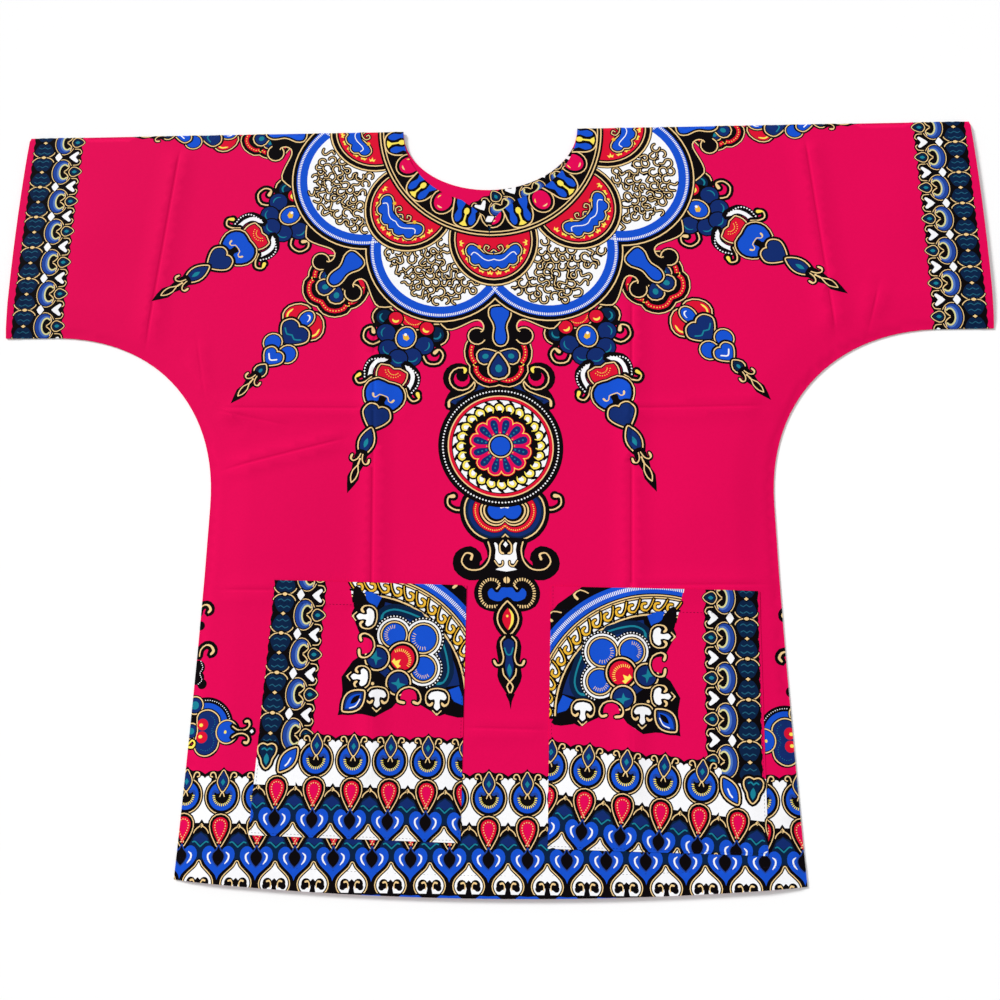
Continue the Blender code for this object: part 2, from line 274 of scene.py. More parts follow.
def hemTop(pen, half=18.25):   # the upper half of one repeat, hanging from its leaf's tip
    pen.fill([(-half, -5.5), (-half, -50), (half, -50), (half, -5.5)], "black")
    pen.fill([(-half, -24), (-half, -50.5), (half, -50.5), (half, -24)], "white")
    top = sweep([(0, 1.5), (2.2, -1.0), (6.0, -2.6), (9.0, -2.0), (13.5, -2.6), (17, -4.6), (half, -5.4)])
    pen.fill(mirrored([*top[:-1], (half, -5.4), (half, -9), (0, -9)]), "black")
    for side in bothSides(pen):   # halves of the white hearts between the eyes
        ear = sweep([(half, -9.4), (16.6, -7.6), (13.6, -7.2), (11.6, -9.6), (12.6, -13.6), (14.4, -19),
            (15, -25)])
        side.fill([*ear, (half, -25)], "white")
        side.fill([(half, -46.6), (15.4, -50.5), (half, -52)], "black")
    eye = pen.at(0, -25.4)
    peacockEye(eye)
    for side in bothSides(eye):
        scroll = sweep([(3.4, 16.4), (6.6, 16.0), (7.6, 19.4), (9.4, 21.6), (12.2, 21.0), (12.8, 18.2),
            (10.8, 17.4)])
        tracery(side, scroll, 1.15, 1.0)
    bud = twin([(0, 22.6), (1.8, 19.4), (4.0, 15.6), (4.3, 12.2), (2.6, 8.4), (0, 4.6)])
    eye.shape(bud, "navy", (2.7, "black"), (1.7, "cream"), (0.8, "black"))
    eye.fill([(0, 16.0), (2.2, 12.8), (0, 9.4), (-2.2, 12.8)], "teal")
    for side in bothSides(eye):
        side.stroke([(-0.6, 4.2), (1.2, 2.2), (2.2, -0.4)], 0.9, "cream")


def hemLow(pen, half=18.25):   # the lower half: a red drop in a blue heart
    pen.fill([(-half, -50), (-half, -112), (half, -112), (half, -50)], "black")
    for side in bothSides(pen):
        dark = sweep([(half, -57.4), (15.4, -59.4), (12.2, -60.6), (9.2, -66.0), (6.6, -72.0), (8, -80),
            (half, -84)])
        side.fill(dark, "deep")
        side.fill(sweep([(half, -58.8), (14.6, -61.2), (11.0, -64.2), (12.2, -66.4), (15.4, -66.8),
            (half, -69.0)]), "navy")
        side.stroke(sweep([(half, -71.2), (15.6, -68.8), (12.8, -66.6), (10.6, -67.2)]), 1.2, "teal")
    for side in bothSides(pen):   # the line that runs from diamond to drop
        tracery(side, sweep([(half, -52.4), (15.6, -53.6), (12.8, -55.8), (10.8, -59.0)]), 0.95, 0.9)
    body = [0, -69.1] - drop(24.6, 15.8, 11)
    pen.shape(body, "red", (4.6, "black"), (3.3, "cream"), (2.4, "black"))
    pen.fill(grown(body, -3.4), "pink")
    dots(pen, grown(body, -2.2), 0.62, "cream", 24, True, 5)
    for side in bothSides(pen):
        side.fill([(half, -50.0), (16.3, -52.3), (half, -54.6)], "cream")
        heart = [(0, -80), (2.6, -75.5), (6.0, -71.2), (10.6, -70.4), (14.8, -73.8), (15.6, -80.0),
            (11.8, -86.6), (5.4, -92.4), (1.6, -96.4), (0, -100.4)]
        side.fill(sweep(heart), "blue")
        side.stroke(curve([(7.4, -75.8), (10.0, -78.2), (9.6, -82.2), (6.8, -86.0)], False, 3),
            [0.7, 1.1] + [1.6] * 6 + [1.1, 0.7], "white")
    core = sweep([(0, -70.2), (1.8, -74.0), (4.6, -76.6), (5.6, -80.2), (3.8, -84.6), (0, -88.4)])
    pen.fill(grown(mirrored(core), 1.1), "dusk")
    pen.fill(mirrored(core), "black")


def hemSpade(pen):   # a white spade between two hearts, with a pair of commas
    edge = sweep([(0, -84.8), (2.4, -89.2), (7.2, -93.6), (11.6, -98.2), (13.2, -103.2), (11.6, -108.0),
        (8.0, -111.5)])
    pen.shape(mirrored([*edge, (0, -112)]), "white", (3.2, "black"), (2.0, "cream"), (1.1, "black"))
    for side in bothSides(pen):
        side.fill(ring(4.4, 6.4, -102.2, 14), "black")
        side.fill([(0, -98.2), (3.0, -101.0), (1.9, -106), (3.2, -111.5), (0, -111.5)], "black")
        side.fill(ring(2.9, 8.4, -105.2, 10), "black")
        side.stroke(sweep([(3.6, -106.4), (3.2, -102.9), (4.8, -100.5), (7.0, -101.0)]),
            [1.0] * 4 + [1.7] * 3, "cream")


def hemFoot(pen, half=18.25):
    pen.fill([(-half, -110.2), (-half, -118), (half, -118), (half, -110.2)], "black")
    pen.fill(mirrored([(0, -112), (8, -111.5), (12, -114), (12, -118), (0, -118)]), "blue")


def hemBorder(pen, first, last, step=36.5):   # from one repeat to another, counted from the middle
    for draw, shift in ((hemTop, 0.0), (hemLow, 0.0), (hemSpade, -0.5), (hemFoot, 0.0)):
        for i in range(first, last + 1 + (shift < 0)):
            draw(pen.at((i + shift) * step, 0))


# The border along cuffs and pockets: x runs inwards from its chain, y along it
def chainUnit(pen):   # two dark beans with slate waves
    bean = loop([(-9.6, 8), (-10.4, 13), (-6, 17.4), (0, 16.2), (6, 17.4), (10.4, 13), (9.6, 8),
        (5.6, 2.0), (0, 1.2), (-5.6, 2.0)])
    for half in (pen, pen.at(turn=180)):
        half.shape(bean, "deep", (1.6, "black"))
        wave = sweep([(-6.6, 12.8), (-3.4, 14.2), (0, 12.2), (3.4, 14.2), (6.6, 12.8)])
        half.stroke(wave, 1.0, "slate")
        half.stroke(wave * [0.95, 1] - [0, 6.6], 0.9, "slate")
    pen.fill(ring(2.8, steps=10), "black")
    pen.fill([(-2.5, 0), (0, 1.8), (2.5, 0), (0, -1.8)], "cream")


def sideUnit(pen):
    pen.fill([(12.0, -13.0), (20, -13.0), (20, 13.0), (12.0, 13.0)], "black")
    chainUnit(pen)
    eye = pen.at(23.0, 0)
    eye.shape(ring(1, steps=24) * [9.9, 13.9], "dusk", (2.8, "black"), (1.9, "cream"), (1.1, "black"))
    eye.fill(ring(1, steps=20) * [7.6, 11.6] + [1.7, 0], "steel")
    eye.fill(ring(1, steps=18) * [6.4, 10.0] + [3.0, 0], "black")
    turn = np.radians(np.linspace(52, 308, 12))
    cee = np.c_[5.4 * np.cos(turn) + 2.6, 9.0 * np.sin(turn)]
    eye.stroke(cee, 1.7, "pale")
    eye.fill([(4.4, 4.6), (11.5, 8.2), (13, 0), (11.5, -8.2), (4.4, -4.6)], "black")
    for up in (1, -1):
        eye.stroke(sweep([(2.6, up * 0.7), (5.0, up * 2.4), (7.6, up * 5.6), (6.4, up * 10.4)]), 1.1,
            "cream")
    tip = loop([(-5.0, 0), (-2.2, 4.4), (2.0, 3.6), (6.6, 0), (2.0, -3.6), (-2.2, -4.4)])
    pen.at(37.2, 0).shape(tip, "deep", (2.8, "black"), (1.9, "cream"), (1.0, "black"))
    pen.fill(leaf(5.8, 3.8, 5)[:, ::-1] + [40.0, 0], "teal")


def sideJoin(pen):   # what lies between two repeats
    for side in bothSides(pen):
        for up in (1, -1):
            tracery(side, sweep([(2.0, 0), (7.0, up * 0.9), (11.2, up * 4.2), (12.0, up * 6.0)]), 1.0,
                1.0)
    pen.shape(leaf(6.0, 3.4, 6)[:, ::-1] + [3.0, 0], "cream", (0.8, "black"))
    pen.shape([(13.2, 0), (15.0, 3.2), (17.4, 5.8), (19.4, 3.2), (21.4, 0), (19.4, -3.2), (17.4, -5.8),
        (15.0, -3.2)], "white", (1.0, "black"))
    half = sweep([(29.4, 0), (32.2, 2.8), (35.2, 4.9), (38.6, 6.9), (40.3, 4.8), (38.2, 2.2), (36.8, 0)])
    pen.shape(np.vstack([half, half[-2:0:-1] * [1, -1]]), "white", (1.0, "black"))
    for up in (1, -1):
        tracery(pen, sweep([(35.0, up * 10.2), (40.8, up * 9.6), (43.0, up * 5.4), (40.9, up * 3.4)]),
            0.9, 0.8)


def sideBorder(pen, low, high, start=0.0, step=37.0):
    first, last = math.floor((low - start) / step), math.ceil((high - start) / step)
    spots = [start + i * step for i in range(first, last + 1)]
    outer = sweep([(-11.6, 0), (-13.0, 6), (-11.4, 12), (-12.4, 18.5)])
    inner = sweep([(46.6, 0), (42.2, 5), (44.0, 9.6), (44.6, 12.5), (42.8, 18.5)])
    edge = np.vstack([outer, inner[::-1], [(inner[0, 0], -0.3), (outer[0, 0], -0.3)]]) * [1, step / 36.6]
    for y in spots:
        pen.at(0, y).fill(edge, "black")
        pen.at(0, y).fill(edge * [1, -1], "black")
    for y in spots:
        sideUnit(pen.at(0, y))
    for y in spots:
        sideJoin(pen.at(0, y + step / 2))


# The yoke: eight lobes round the neck. Motifs hang down from their pen's place
yoke = {"lobes": 8, "reach": 152.0, "lobe": 76.5, "band": 12.0, "tall": 1.04, "bandTall": 1.055,
    "neckBand": 123.5}


def onRing(pen, angle, reach):   # a pen that hangs outwards from a ring
    return pen.at(reach * math.cos(math.radians(angle)), reach * math.sin(math.radians(angle)),
        turn=angle + 90)


def squiggles(pen, clear, seed, pitch=10.4, reach=236):   # loose curls scattered over the white
    random = np.random.default_rng(seed)
    shapes = (
        curl(0, 0, 3.6, 3.4, -30, 220), curl(0, 0, 3.0, 4.4, 0, 260),
        np.vstack([curl(0, 2.7, 2.7, 2.7, 200, -60), curl(0, -2.7, 2.7, 2.7, 110, 300)[1:]]),
        sweep([(-5, 2), (-2, 4), (0, 1), (2, -2), (5, -1), (5.5, 2.5)]),
        sweep([(-4, -4), (-4.6, 1), (-1, 3.5), (2, 1), (1.4, -3), (4, -5)]),
    )
    rows = int(reach / pitch / 0.86)
    for row in range(-rows, rows + 1):
        for column in range(-int(reach / pitch), int(reach / pitch) + 1):
            x = (column + 0.5 * (row % 2)) * pitch + random.uniform(-1.5, 1.5)
            y = row * pitch * 0.86 + random.uniform(-1.5, 1.5)
            turn, flip, pick = random.uniform(0, 360), random.random() < 0.5, random.integers(len(shapes))
            if clear(x, y):
                tracery(pen.at(x, y, turn=turn, flip=flip), shapes[pick] * random.uniform(1.05, 1.3),
                    0.85, 1.5)


def halfRosette(pen):   # hangs from the neck band
    for r, ink in ((49.5, "black"), (48.4, "cream"), (46.9, "black"), (42.6, "cream"), (41.4, "black"),
            (39.8, "red")):
        pen.fill(ring(r, 0, -5, 40, 1.06), ink)
    for angle in np.linspace(186, 354, 12):   # yellow flecks
        fleck = onRing(pen.shaped(1, 1.07).at(0, -4.6), angle, 35.6)
        fleck.fill([(-3.4, 1.8), (-1.2, 0.6), (0, 3.8), (1.2, 0.6), (3.4, 1.8), (2.0, -1.6), (0, -0.6),
            (-2.0, -1.6)], "yellow")
    half = [(0, -18.5), (5, -22.5), (12, -20.5), (19, -13.5), (25, -11.5), (28.5, -16), (27.5, -21),
        (24.5, -23.5), (24.5, -29), (20.5, -32), (16, -31), (13, -35.5), (7.5, -37), (4, -34.2),
        (0, -37.5)]
    lined(pen, twin(half), "blue", 1.4, 1.1, 1.3)
    pen.stroke(across(sweep([(0, -27.0), (6, -28.5), (12, -26.0), (18, -20.5), (22, -19.0),
        (24.5, -22)])), 1.0, "white")
    for side in bothSides(pen):
        twist = sweep([(1.0, -21), (6.5, -20), (10.5, -16), (8.5, -11.5), (4.8, -13), (6.4, -15.6)])
        tracery(side, twist, 1.0, 1.3)
        side.fill(ring(2.1, 15.5, -13.2, 7), "gold")


def paddlePair(pen):
    outer = mirrored([(0, 20), (15.4, 20), (15.6, 10), (14.4, 0), (13.4, -8), (9.5, -14.5), (4, -16.8),
        (0, -17.2)])
    pen.shape(loop(outer), "black", (1.4, "cream"))
    for side in bothSides(pen):
        side.fill(loop([(4.6, 19), (13.2, 19), (12.8, 8), (9.8, 1.5), (11.8, -6), (9.4, -12.4),
            (5.8, -12), (3.8, -6), (5.6, 1), (3.6, 9)]), "blue")
    pen.fill([(-0.8, 2), (0.8, 2), (1.1, -10), (4.6, -14.6), (0, -15.6), (-4.6, -14.6), (-1.1, -10)],
        "yellow")
    pen.fill(ring(3.0, 0, 1.5, 10, 1.35), "yellow")


def pinkDrop(pen):
    pen.shape(ring(9.4, 0, 1.5, 20, 1.22), "pink", (5.0, "black"), (4.2, "cream"), (3.0, "black"))
    pen.stroke(arc(6.6, 245, 295, 0, 0.5, 5), [0.6, 1.4, 1.8, 1.8, 1.4, 0.6], "cream")
    pen.stroke(arc(7.2, 140, 175, 0, 1.5, 3), [0.6, 1.2, 1.2, 0.6], "yellow")


def bracket(pen):   # a blue stem between black wings that end in volutes; at a cusp of the lobes
    line = sweep([(66, -33), (57, -43), (47, -42), (36, -37), (27, -33), (20.5, -34), (17.5, -40),
        (19, -45.5), (23.5, -47)])
    for side in bothSides(pen):
        side.stroke(line[:10], 3.6, "black")
        wing = line.tolist() + [(14, -56), (0, -62), (0, 4), (30, -14), (58, -28)]
        side.fill(wing, "black")
        side.fill(ring(11.4, 25, -51, 20), "black")
        side.stroke(line, 1.3, "cream")
        side.stroke(curl(25, -51, 9.2, 9.4, 128, -150), 1.3, "cream")
        side.fill(ring(7.2, 26, -51.5, 14), "black")
    stem = [(0, -18.5), (5, -18.8), (9.2, -21), (9.4, -28), (6.0, -35), (4.4, -42), (5.6, -49),
        (5.6, -55), (3.2, -59.4), (0, -60.4)]
    lined(pen, twin(stem), "blue", 1.6, 1.3, 1.8)


def lotus(pen, petals=3):   # a beaded shield with petals, centred on its pen
    half = sweep([(0, 24), (14, 27), (28, 19), (33, 6), (31, -5), (27.5, -10), (28, -17), (21, -27),
        (10, -31.5), (0, -29)])
    shield = mirrored(half)
    for reach, ink in ((4.2, "black"), (3.2, "cream"), (2.0, "black"), (-1.8, "red"), (-6.6, "black")):
        pen.fill(grown(shield, reach), ink)
    rim = grown(shield, -4.1)
    rim = rim[rim[:, 1] < 17]
    dots(pen, rim[np.argsort(np.arctan2(rim[:, 0], rim[:, 1] + 0.1) % (2 * math.pi))], 0.75, "yellow",
        44, False, 5)
    four = ((188, 1.0), (352, 1.0), (238, 1.12), (302, 1.12))
    three = ((196, 1.05), (344, 1.05), (270, 1.35))
    for angle, size in four if petals == 4 else three:
        petal = onRing(pen.at(0, 4), angle, 2.0).at(size=size)
        lined(petal, drop(18.5, 14, 8), "navy", 0.9, 1.2, 1.3)
        petal.fill(ring(2.8, 0, -11.5, 8, 1.2), "teal")


def bead(pen, width, height, ink, shine="white"):   # a glossy oval in a drawn ring
    oval = ring(1, steps=16) * [width / 2, height / 2]
    lined(pen, oval, ink, 1.6, 1.2, 1.2)
    if shine:
        pen.stroke(arc(1, 60, 200, steps=7) * [width * 0.27, height * 0.27],
            [0.6, 1.2, 1.5, 1.6, 1.5, 1.2, 0.9, 0.6], shine)


def hook(pen, path, tip="yellow"):   # a black limb with a drawn line that curls to a bright tip
    path = curve(path, False, 3)
    pen.stroke(path, 7.6, "black")
    pen.fill(ring(5.0, *path[-1], 12), "black")
    pen.stroke(path, 1.5, "cream")
    pen.stroke(path[-4:], [1.2, 2.4, 3.6, 3.8], tip)
    pen.fill(ring(2.0, *path[-1], 9), tip)


def tailEnd(pen):   # two tiny curls, a loop and a black point
    pen.fill(twin([(0, 8), (6, 6), (6.5, -6), (4.5, -16), (6.2, -24), (0, -41)]), "black")
    for side in bothSides(pen):
        hookPath = sweep([(1.2, 3), (2.6, -3), (6.4, -6.4), (9.6, -4.6), (9.4, -0.6)])
        side.stroke(hookPath, 5.4, "black")
    pen.fill(twin([(0, 8), (5.2, 4), (3.2, -8), (5.6, -20), (4.4, -29), (0, -41)]), "black")
    for side in bothSides(pen):
        side.stroke(hookPath, [1.2] * 6 + [2.0, 2.4, 2.0], "cream")
        side.stroke(sweep([(0.6, -2), (-0.4, -8), (3.0, -16), (2.6, -24), (0, -29)]), 1.2, "cream")


def crescentDisc(pen, r=7.4):
    pen.shape(ring(r, steps=14), "red", (1.6, "black"))
    pen.stroke(arc(r * 0.5, 190, 330, steps=6), [0.6, 1.8, 2.4, 2.6, 2.4, 1.8, 0.6], "yellow")


def pendantA(pen):   # centred on its flower; hangs from the middle of a lobe
    for side in bothSides(pen):
        side.fill(ring(14.5, 30, 14, 16), "black")
        side.stroke(curl(30, 14, 12.2, 12.2, -50, 170), 1.3, "cream")
        side.fill(ring(8.6, 29, 14, 14), "deep")
        side.stroke(arc(5.0, 250, 400, 29, 14, 5), [0.6, 1.6, 2.0, 2.0, 1.6, 0.6], "teal")
        hook(side, [(19, -6), (30, -19), (42, -16), (44, -6), (38, -1), (34.5, -6)], "cream")
    pen.fill(ring(29, 0, 2, 24), "black")
    half = arc(15, 180, 360, 0, 27, 10)
    lined(pen, np.vstack([half, [(15, 36), (-15, 36)]]), "red", 2.0, 1.3, 1.4)
    dots(pen, arc(11, 215, 325, 0, 27, 12), 0.6, "yellow", 12, False, 5)
    for x, y in ((-21.5, -2), (21.5, -2), (-13.5, -18.5), (13.5, -18.5), (0, -25)):
        pen.shape(ring(9.8, x, y, 14), "navy", (1.4, "black"))
        away = math.degrees(math.atan2(y, x))
        pen.stroke(arc(6.6, away - 52, away + 52, x * 0.93, y * 0.93, 6),
            [0.5, 1.2, 1.5, 1.5, 1.2, 0.8, 0.5], "teal")
    for side in bothSides(pen):
        crescentDisc(side.at(17.5, 17))
    bead(pen, 18, 21.5, "blue", None)
    pen.fill([(-4, 0), (-1, 3.4), (1.5, 1.2), (4.5, 2.6), (2, -2.6), (-2, -3.2)], "gold")
    pen.fill(ring(1.7, 1.6, 3.0, 7), "white")
    neckSpot = pen.at(0, -44)
    for side in bothSides(neckSpot):
        path = curve([(10, 14), (20, 8), (22.5, -2), (20, -12)], False, 3)
        side.stroke(path * [1.12, 1.0], 12.5, "black")
        side.stroke(path, [1.0] + [4.2] * 7 + [5.4, 6.0], "white")
        dots(side, path * [1.26, 1.0] + [1.2, 0], 0.95, "white", 12, False, 6)
        hook(side, [(19, -10), (24, -17), (30.5, -20.5), (35.5, -16), (32.5, -11)])
    lined(neckSpot, np.vstack([arc(14.5, 158, 382, 0, 0, 14), [(6, 7), (0, 5), (-6, 7)]]), "red", 1.8,
        1.3, 1.2)
    for r in (6.0, 9.0):
        dots(neckSpot, arc(r, 205, 335, 0, 6, 8), 0.55, "yellow", 9, False, 5)
    bulb = pen.at(0, -68)
    outline = [(0, 12.5), (11, 13), (18, 7), (19.5, -2), (14.5, -11.5), (8, -12.5), (3.4, -8), (4, -3),
        (0, -1)]
    for reach, ink in ((4.8, "black"), (3.6, "cream"), (2.4, "black")):
        bulb.fill(grown(twin(outline[:6] + [(0, -11)]), reach), ink)
    bulb.fill(twin(outline), "blue")
    for side in bothSides(bulb):
        side.stroke(sweep([(0, -1), (4.6, -1.4), (6.6, -5), (9.8, -5.4), (11.4, -2.4)]),
            [1.0] * 6 + [1.5, 2.2, 2.2], "cream")
    lined(pen.at(0, -86), heart(26, 24, 3) * [1, 1], "navy", 2.6, 1.3, 1.2)
    leafSpot = pen.at(0, -108)
    lined(leafSpot, leaf(29, 12.5, 8), "navy", 2.4, 1.3, 1.3)
    leafSpot.fill(leaf(11, 4.6, 5) + [0, -10], "teal")
    tailEnd(pen.at(0, -139))


def pendantB(pen):   # centred on its lotus
    lotus(pen, 4)
    spot = pen.at(0, -51)
    for side in bothSides(spot):
        petal = loop([(5, 12), (16, 10), (24, 0), (23.5, -10), (16, -16), (9.5, -11), (10, -2)])
        lined(side, petal * [0.92, 0.95], "red", 2.2, 1.3, 1.2)
        side.stroke(curve([(18.6, 1), (19.6, -6), (16.4, -11.6)], False, 3), [0.8] + [2.0] * 5 + [2.8],
            "yellow")
    bead(spot.at(0, 1), 12.5, 18, "blue")
    lined(pen.at(0, -63.5), heart(31, 25, 3), "navy", 2.4, 1.3, 1.2)
    pen.stroke(sweep([(-11, -72), (-5, -76), (0, -73.5), (5, -76), (11, -72)]), 1.6, "teal")
    for side in bothSides(pen):
        bead(side.at(10.5, -93), 16.5, 17.5, "blue", None)
    lined(pen.at(0, -100), heart(20, 18, 3), "blue", 2.2, 1.2, 1.1)
    pen.stroke(curve([(-5.5, -105), (0, -109.5), (5.5, -105)], False, 3), 1.5, "white")
    lined(pen.at(0, -118), leaf(15, 10, 6), "deep", 2.0, 1.2, 1.2)
    pen.fill(ring(1.8, 0, -125, 7, 1.5), "teal")
    tailEnd(pen.at(0, -135).at(size=0.92))


def drawYoke(pen):
    tall = pen.shaped(1.0, yoke["tall"])
    lobes = [22.5 + 45 * k for k in range(yoke["lobes"])]
    cusps = [45 * k for k in range(yoke["lobes"])]
    for angle in cusps:
        if angle != 270:
            bracket(onRing(tall, angle, 190.1))
    bracket(pen.at(4.5, -196))
    for reach, ink in ((6.6, "black"), (5.2, "cream"), (3.8, "black"), (0, "blue"),
            (-yoke["band"], "white")):
        for angle in lobes:
            onRing(tall, angle, yoke["reach"]).fill(ring(yoke["lobe"] + reach, steps=56), ink)
    spacing = 1.55
    for angle in lobes:   # the dashes along the band's outer edge
        lobe = onRing(tall, angle, yoke["reach"])
        half = 127.0
        turns = np.arange(-90 - half, -90 + half, spacing)
        for turn in turns:
            a, b = math.radians(turn), math.radians(turn + spacing * 0.55)
            r0, r1 = yoke["lobe"] - 3.9, yoke["lobe"] - 1.2
            if abs(((turn + 90 + 180) % 360) - 180) > 125:
                continue
            lobe.fill([(r0 * math.cos(a), r0 * math.sin(a)), (r1 * math.cos(a), r1 * math.sin(a)),
                (r1 * math.cos(b), r1 * math.sin(b)), (r0 * math.cos(b), r0 * math.sin(b))], "white")

    def clear(x, y):   # white ground inside the lobes and outside the rosettes
        angle, r = math.degrees(math.atan2(y, x)) % 360, math.hypot(x, y)
        nearest = math.radians(22.5 + 45 * math.floor(angle / 45))
        fromLobe = math.hypot(x - yoke["reach"] * math.cos(nearest),
            y - yoke["reach"] * math.sin(nearest))
        rosette = math.radians(round((angle - 45) / 45) * 45 + 45)
        fromRosette = math.hypot(x - 126 * math.cos(rosette), y - 126 * math.sin(rosette))
        return fromLobe < yoke["lobe"] - yoke["band"] - 5.5 and r > 130 and fromRosette > 53.5

    squiggles(tall, clear, 7)
    band = pen.shaped(1.0, yoke["bandTall"])
    for angle in cusps:
        halfRosette(onRing(band, angle, yoke["neckBand"]))
    for r, ink in ((126.5, "black"), (124.2, "cream"), (122.8, "black"), (120.4, "cream"),
            (119.2, "black")):
        band.fill(ring(r, steps=88), ink)
    for k in range(22):
        spot = onRing(band, 270 + k * 360 / 22, 101.5)
        (pinkDrop if k % 2 == 0 else paddlePair)(spot)


# The medallion below the yoke and what hangs from it
def medallion(pen):
    for r, ink in ((64.5, "black"), (54.6, "cream"), (53.4, "red"), (50.4, "black"), (49.4, "white")):
        pen.fill(ring(r, steps=64), ink)
    dots(pen, ring(59.6, steps=96), 0.95, "white", 112, True, 6)
    pen.fill(ring(38.6, steps=48), "black")
    for k in range(24):   # scrolls that hook into the white
        unit = onRing(pen, k * 15, 41.5)
        unit.stroke(sweep([(-4.5, 6), (-4.6, 0), (0, -4.0), (4.4, -1.0), (3.4, 3.2)]), 4.0, "black")
        unit.fill([(-1, -3), (3, -7.6), (0.4, -8.4), (-4, -5)], "black")
        unit.stroke(sweep([(-2.6, 5.4), (-4.0, 0.6), (0, -3.0), (3.6, -0.6), (2.2, 2.8)]),
            [0.8, 1.6, 2.0, 2.1, 2.1, 2.0, 1.9, 1.7, 1.4], "yellow")
    pen.fill(ring(34.5, steps=40), "black")
    petals = [onRing(pen, 15 + k * 30, 8.0) for k in range(12)]
    outline = leafPetal(23.5, 13.6)
    for reach, ink in ((1.5, "red"), (0.7, "yellow"), (0, "pink")):
        for petal in petals:
            petal.fill(grown(outline, reach), ink)
    for petal in petals:
        petal.fill(leafPetal(19.5, 7.8) + [0, -1.5], "navy")
        dots(petal, [(0, -7.5), (0, -16)], 1.05, "teal", 3, False, 6)
    for r, ink in ((13.6, "black"), (12.6, "cream"), (11.3, "black"), (9.8, "blue")):
        pen.fill(ring(r, steps=28), ink)


def leafPetal(length, width):   # blunt petal from its pen outwards
    return twin([(0, 0), (width * 0.30, -length * 0.3), (width * 0.5, -length * 0.68),
        (width * 0.36, -length * 0.93), (0, -length)])


def aboveMedallion(pen):   # at the lotus over the medallion
    for side in bothSides(pen):
        side.fill(loop([(20, -20), (38, -22), (50, -36), (57, -48), (56, -58), (40, -60), (20, -44),
            (0, -40)]), "black")
        side.fill(loop([(19, -27), (14, -38), (8, -38), (2, -36), (14, -52), (46, -53), (50, -47),
            (34, -43), (24, -37)]), "navy")
        side.stroke(sweep([(6, -42), (22, -46), (44, -50)]), 3.0, "deep")
        tracery(side, curve([(25, -24), (27, -36), (40, -43), (52, -48), (53, -55)], False, 3),
            [1.2] * 9 + [1.8, 2.4, 2.8, 2.6], 1.0)
        side.fill(ring(17, 42, -24, 18), "black")
        side.fill(ring(8.5, 39, -25, 12), "pink")
        side.fill(ring(6.5, 38.5, -21.5, 10), "black")
        side.stroke(np.vstack([[(25, -20), (26, -28)], curl(39.5, -24.5, 13.0, 12.4, 215, 460)]), 1.4,
            "cream")
        side.stroke(sweep([(37.4, -12.2), (35.0, -14.5), (36.0, -18.0)]), [1.6, 2.8, 3.4, 3.2, 2.0],
            "yellow")
    lotus(pen)


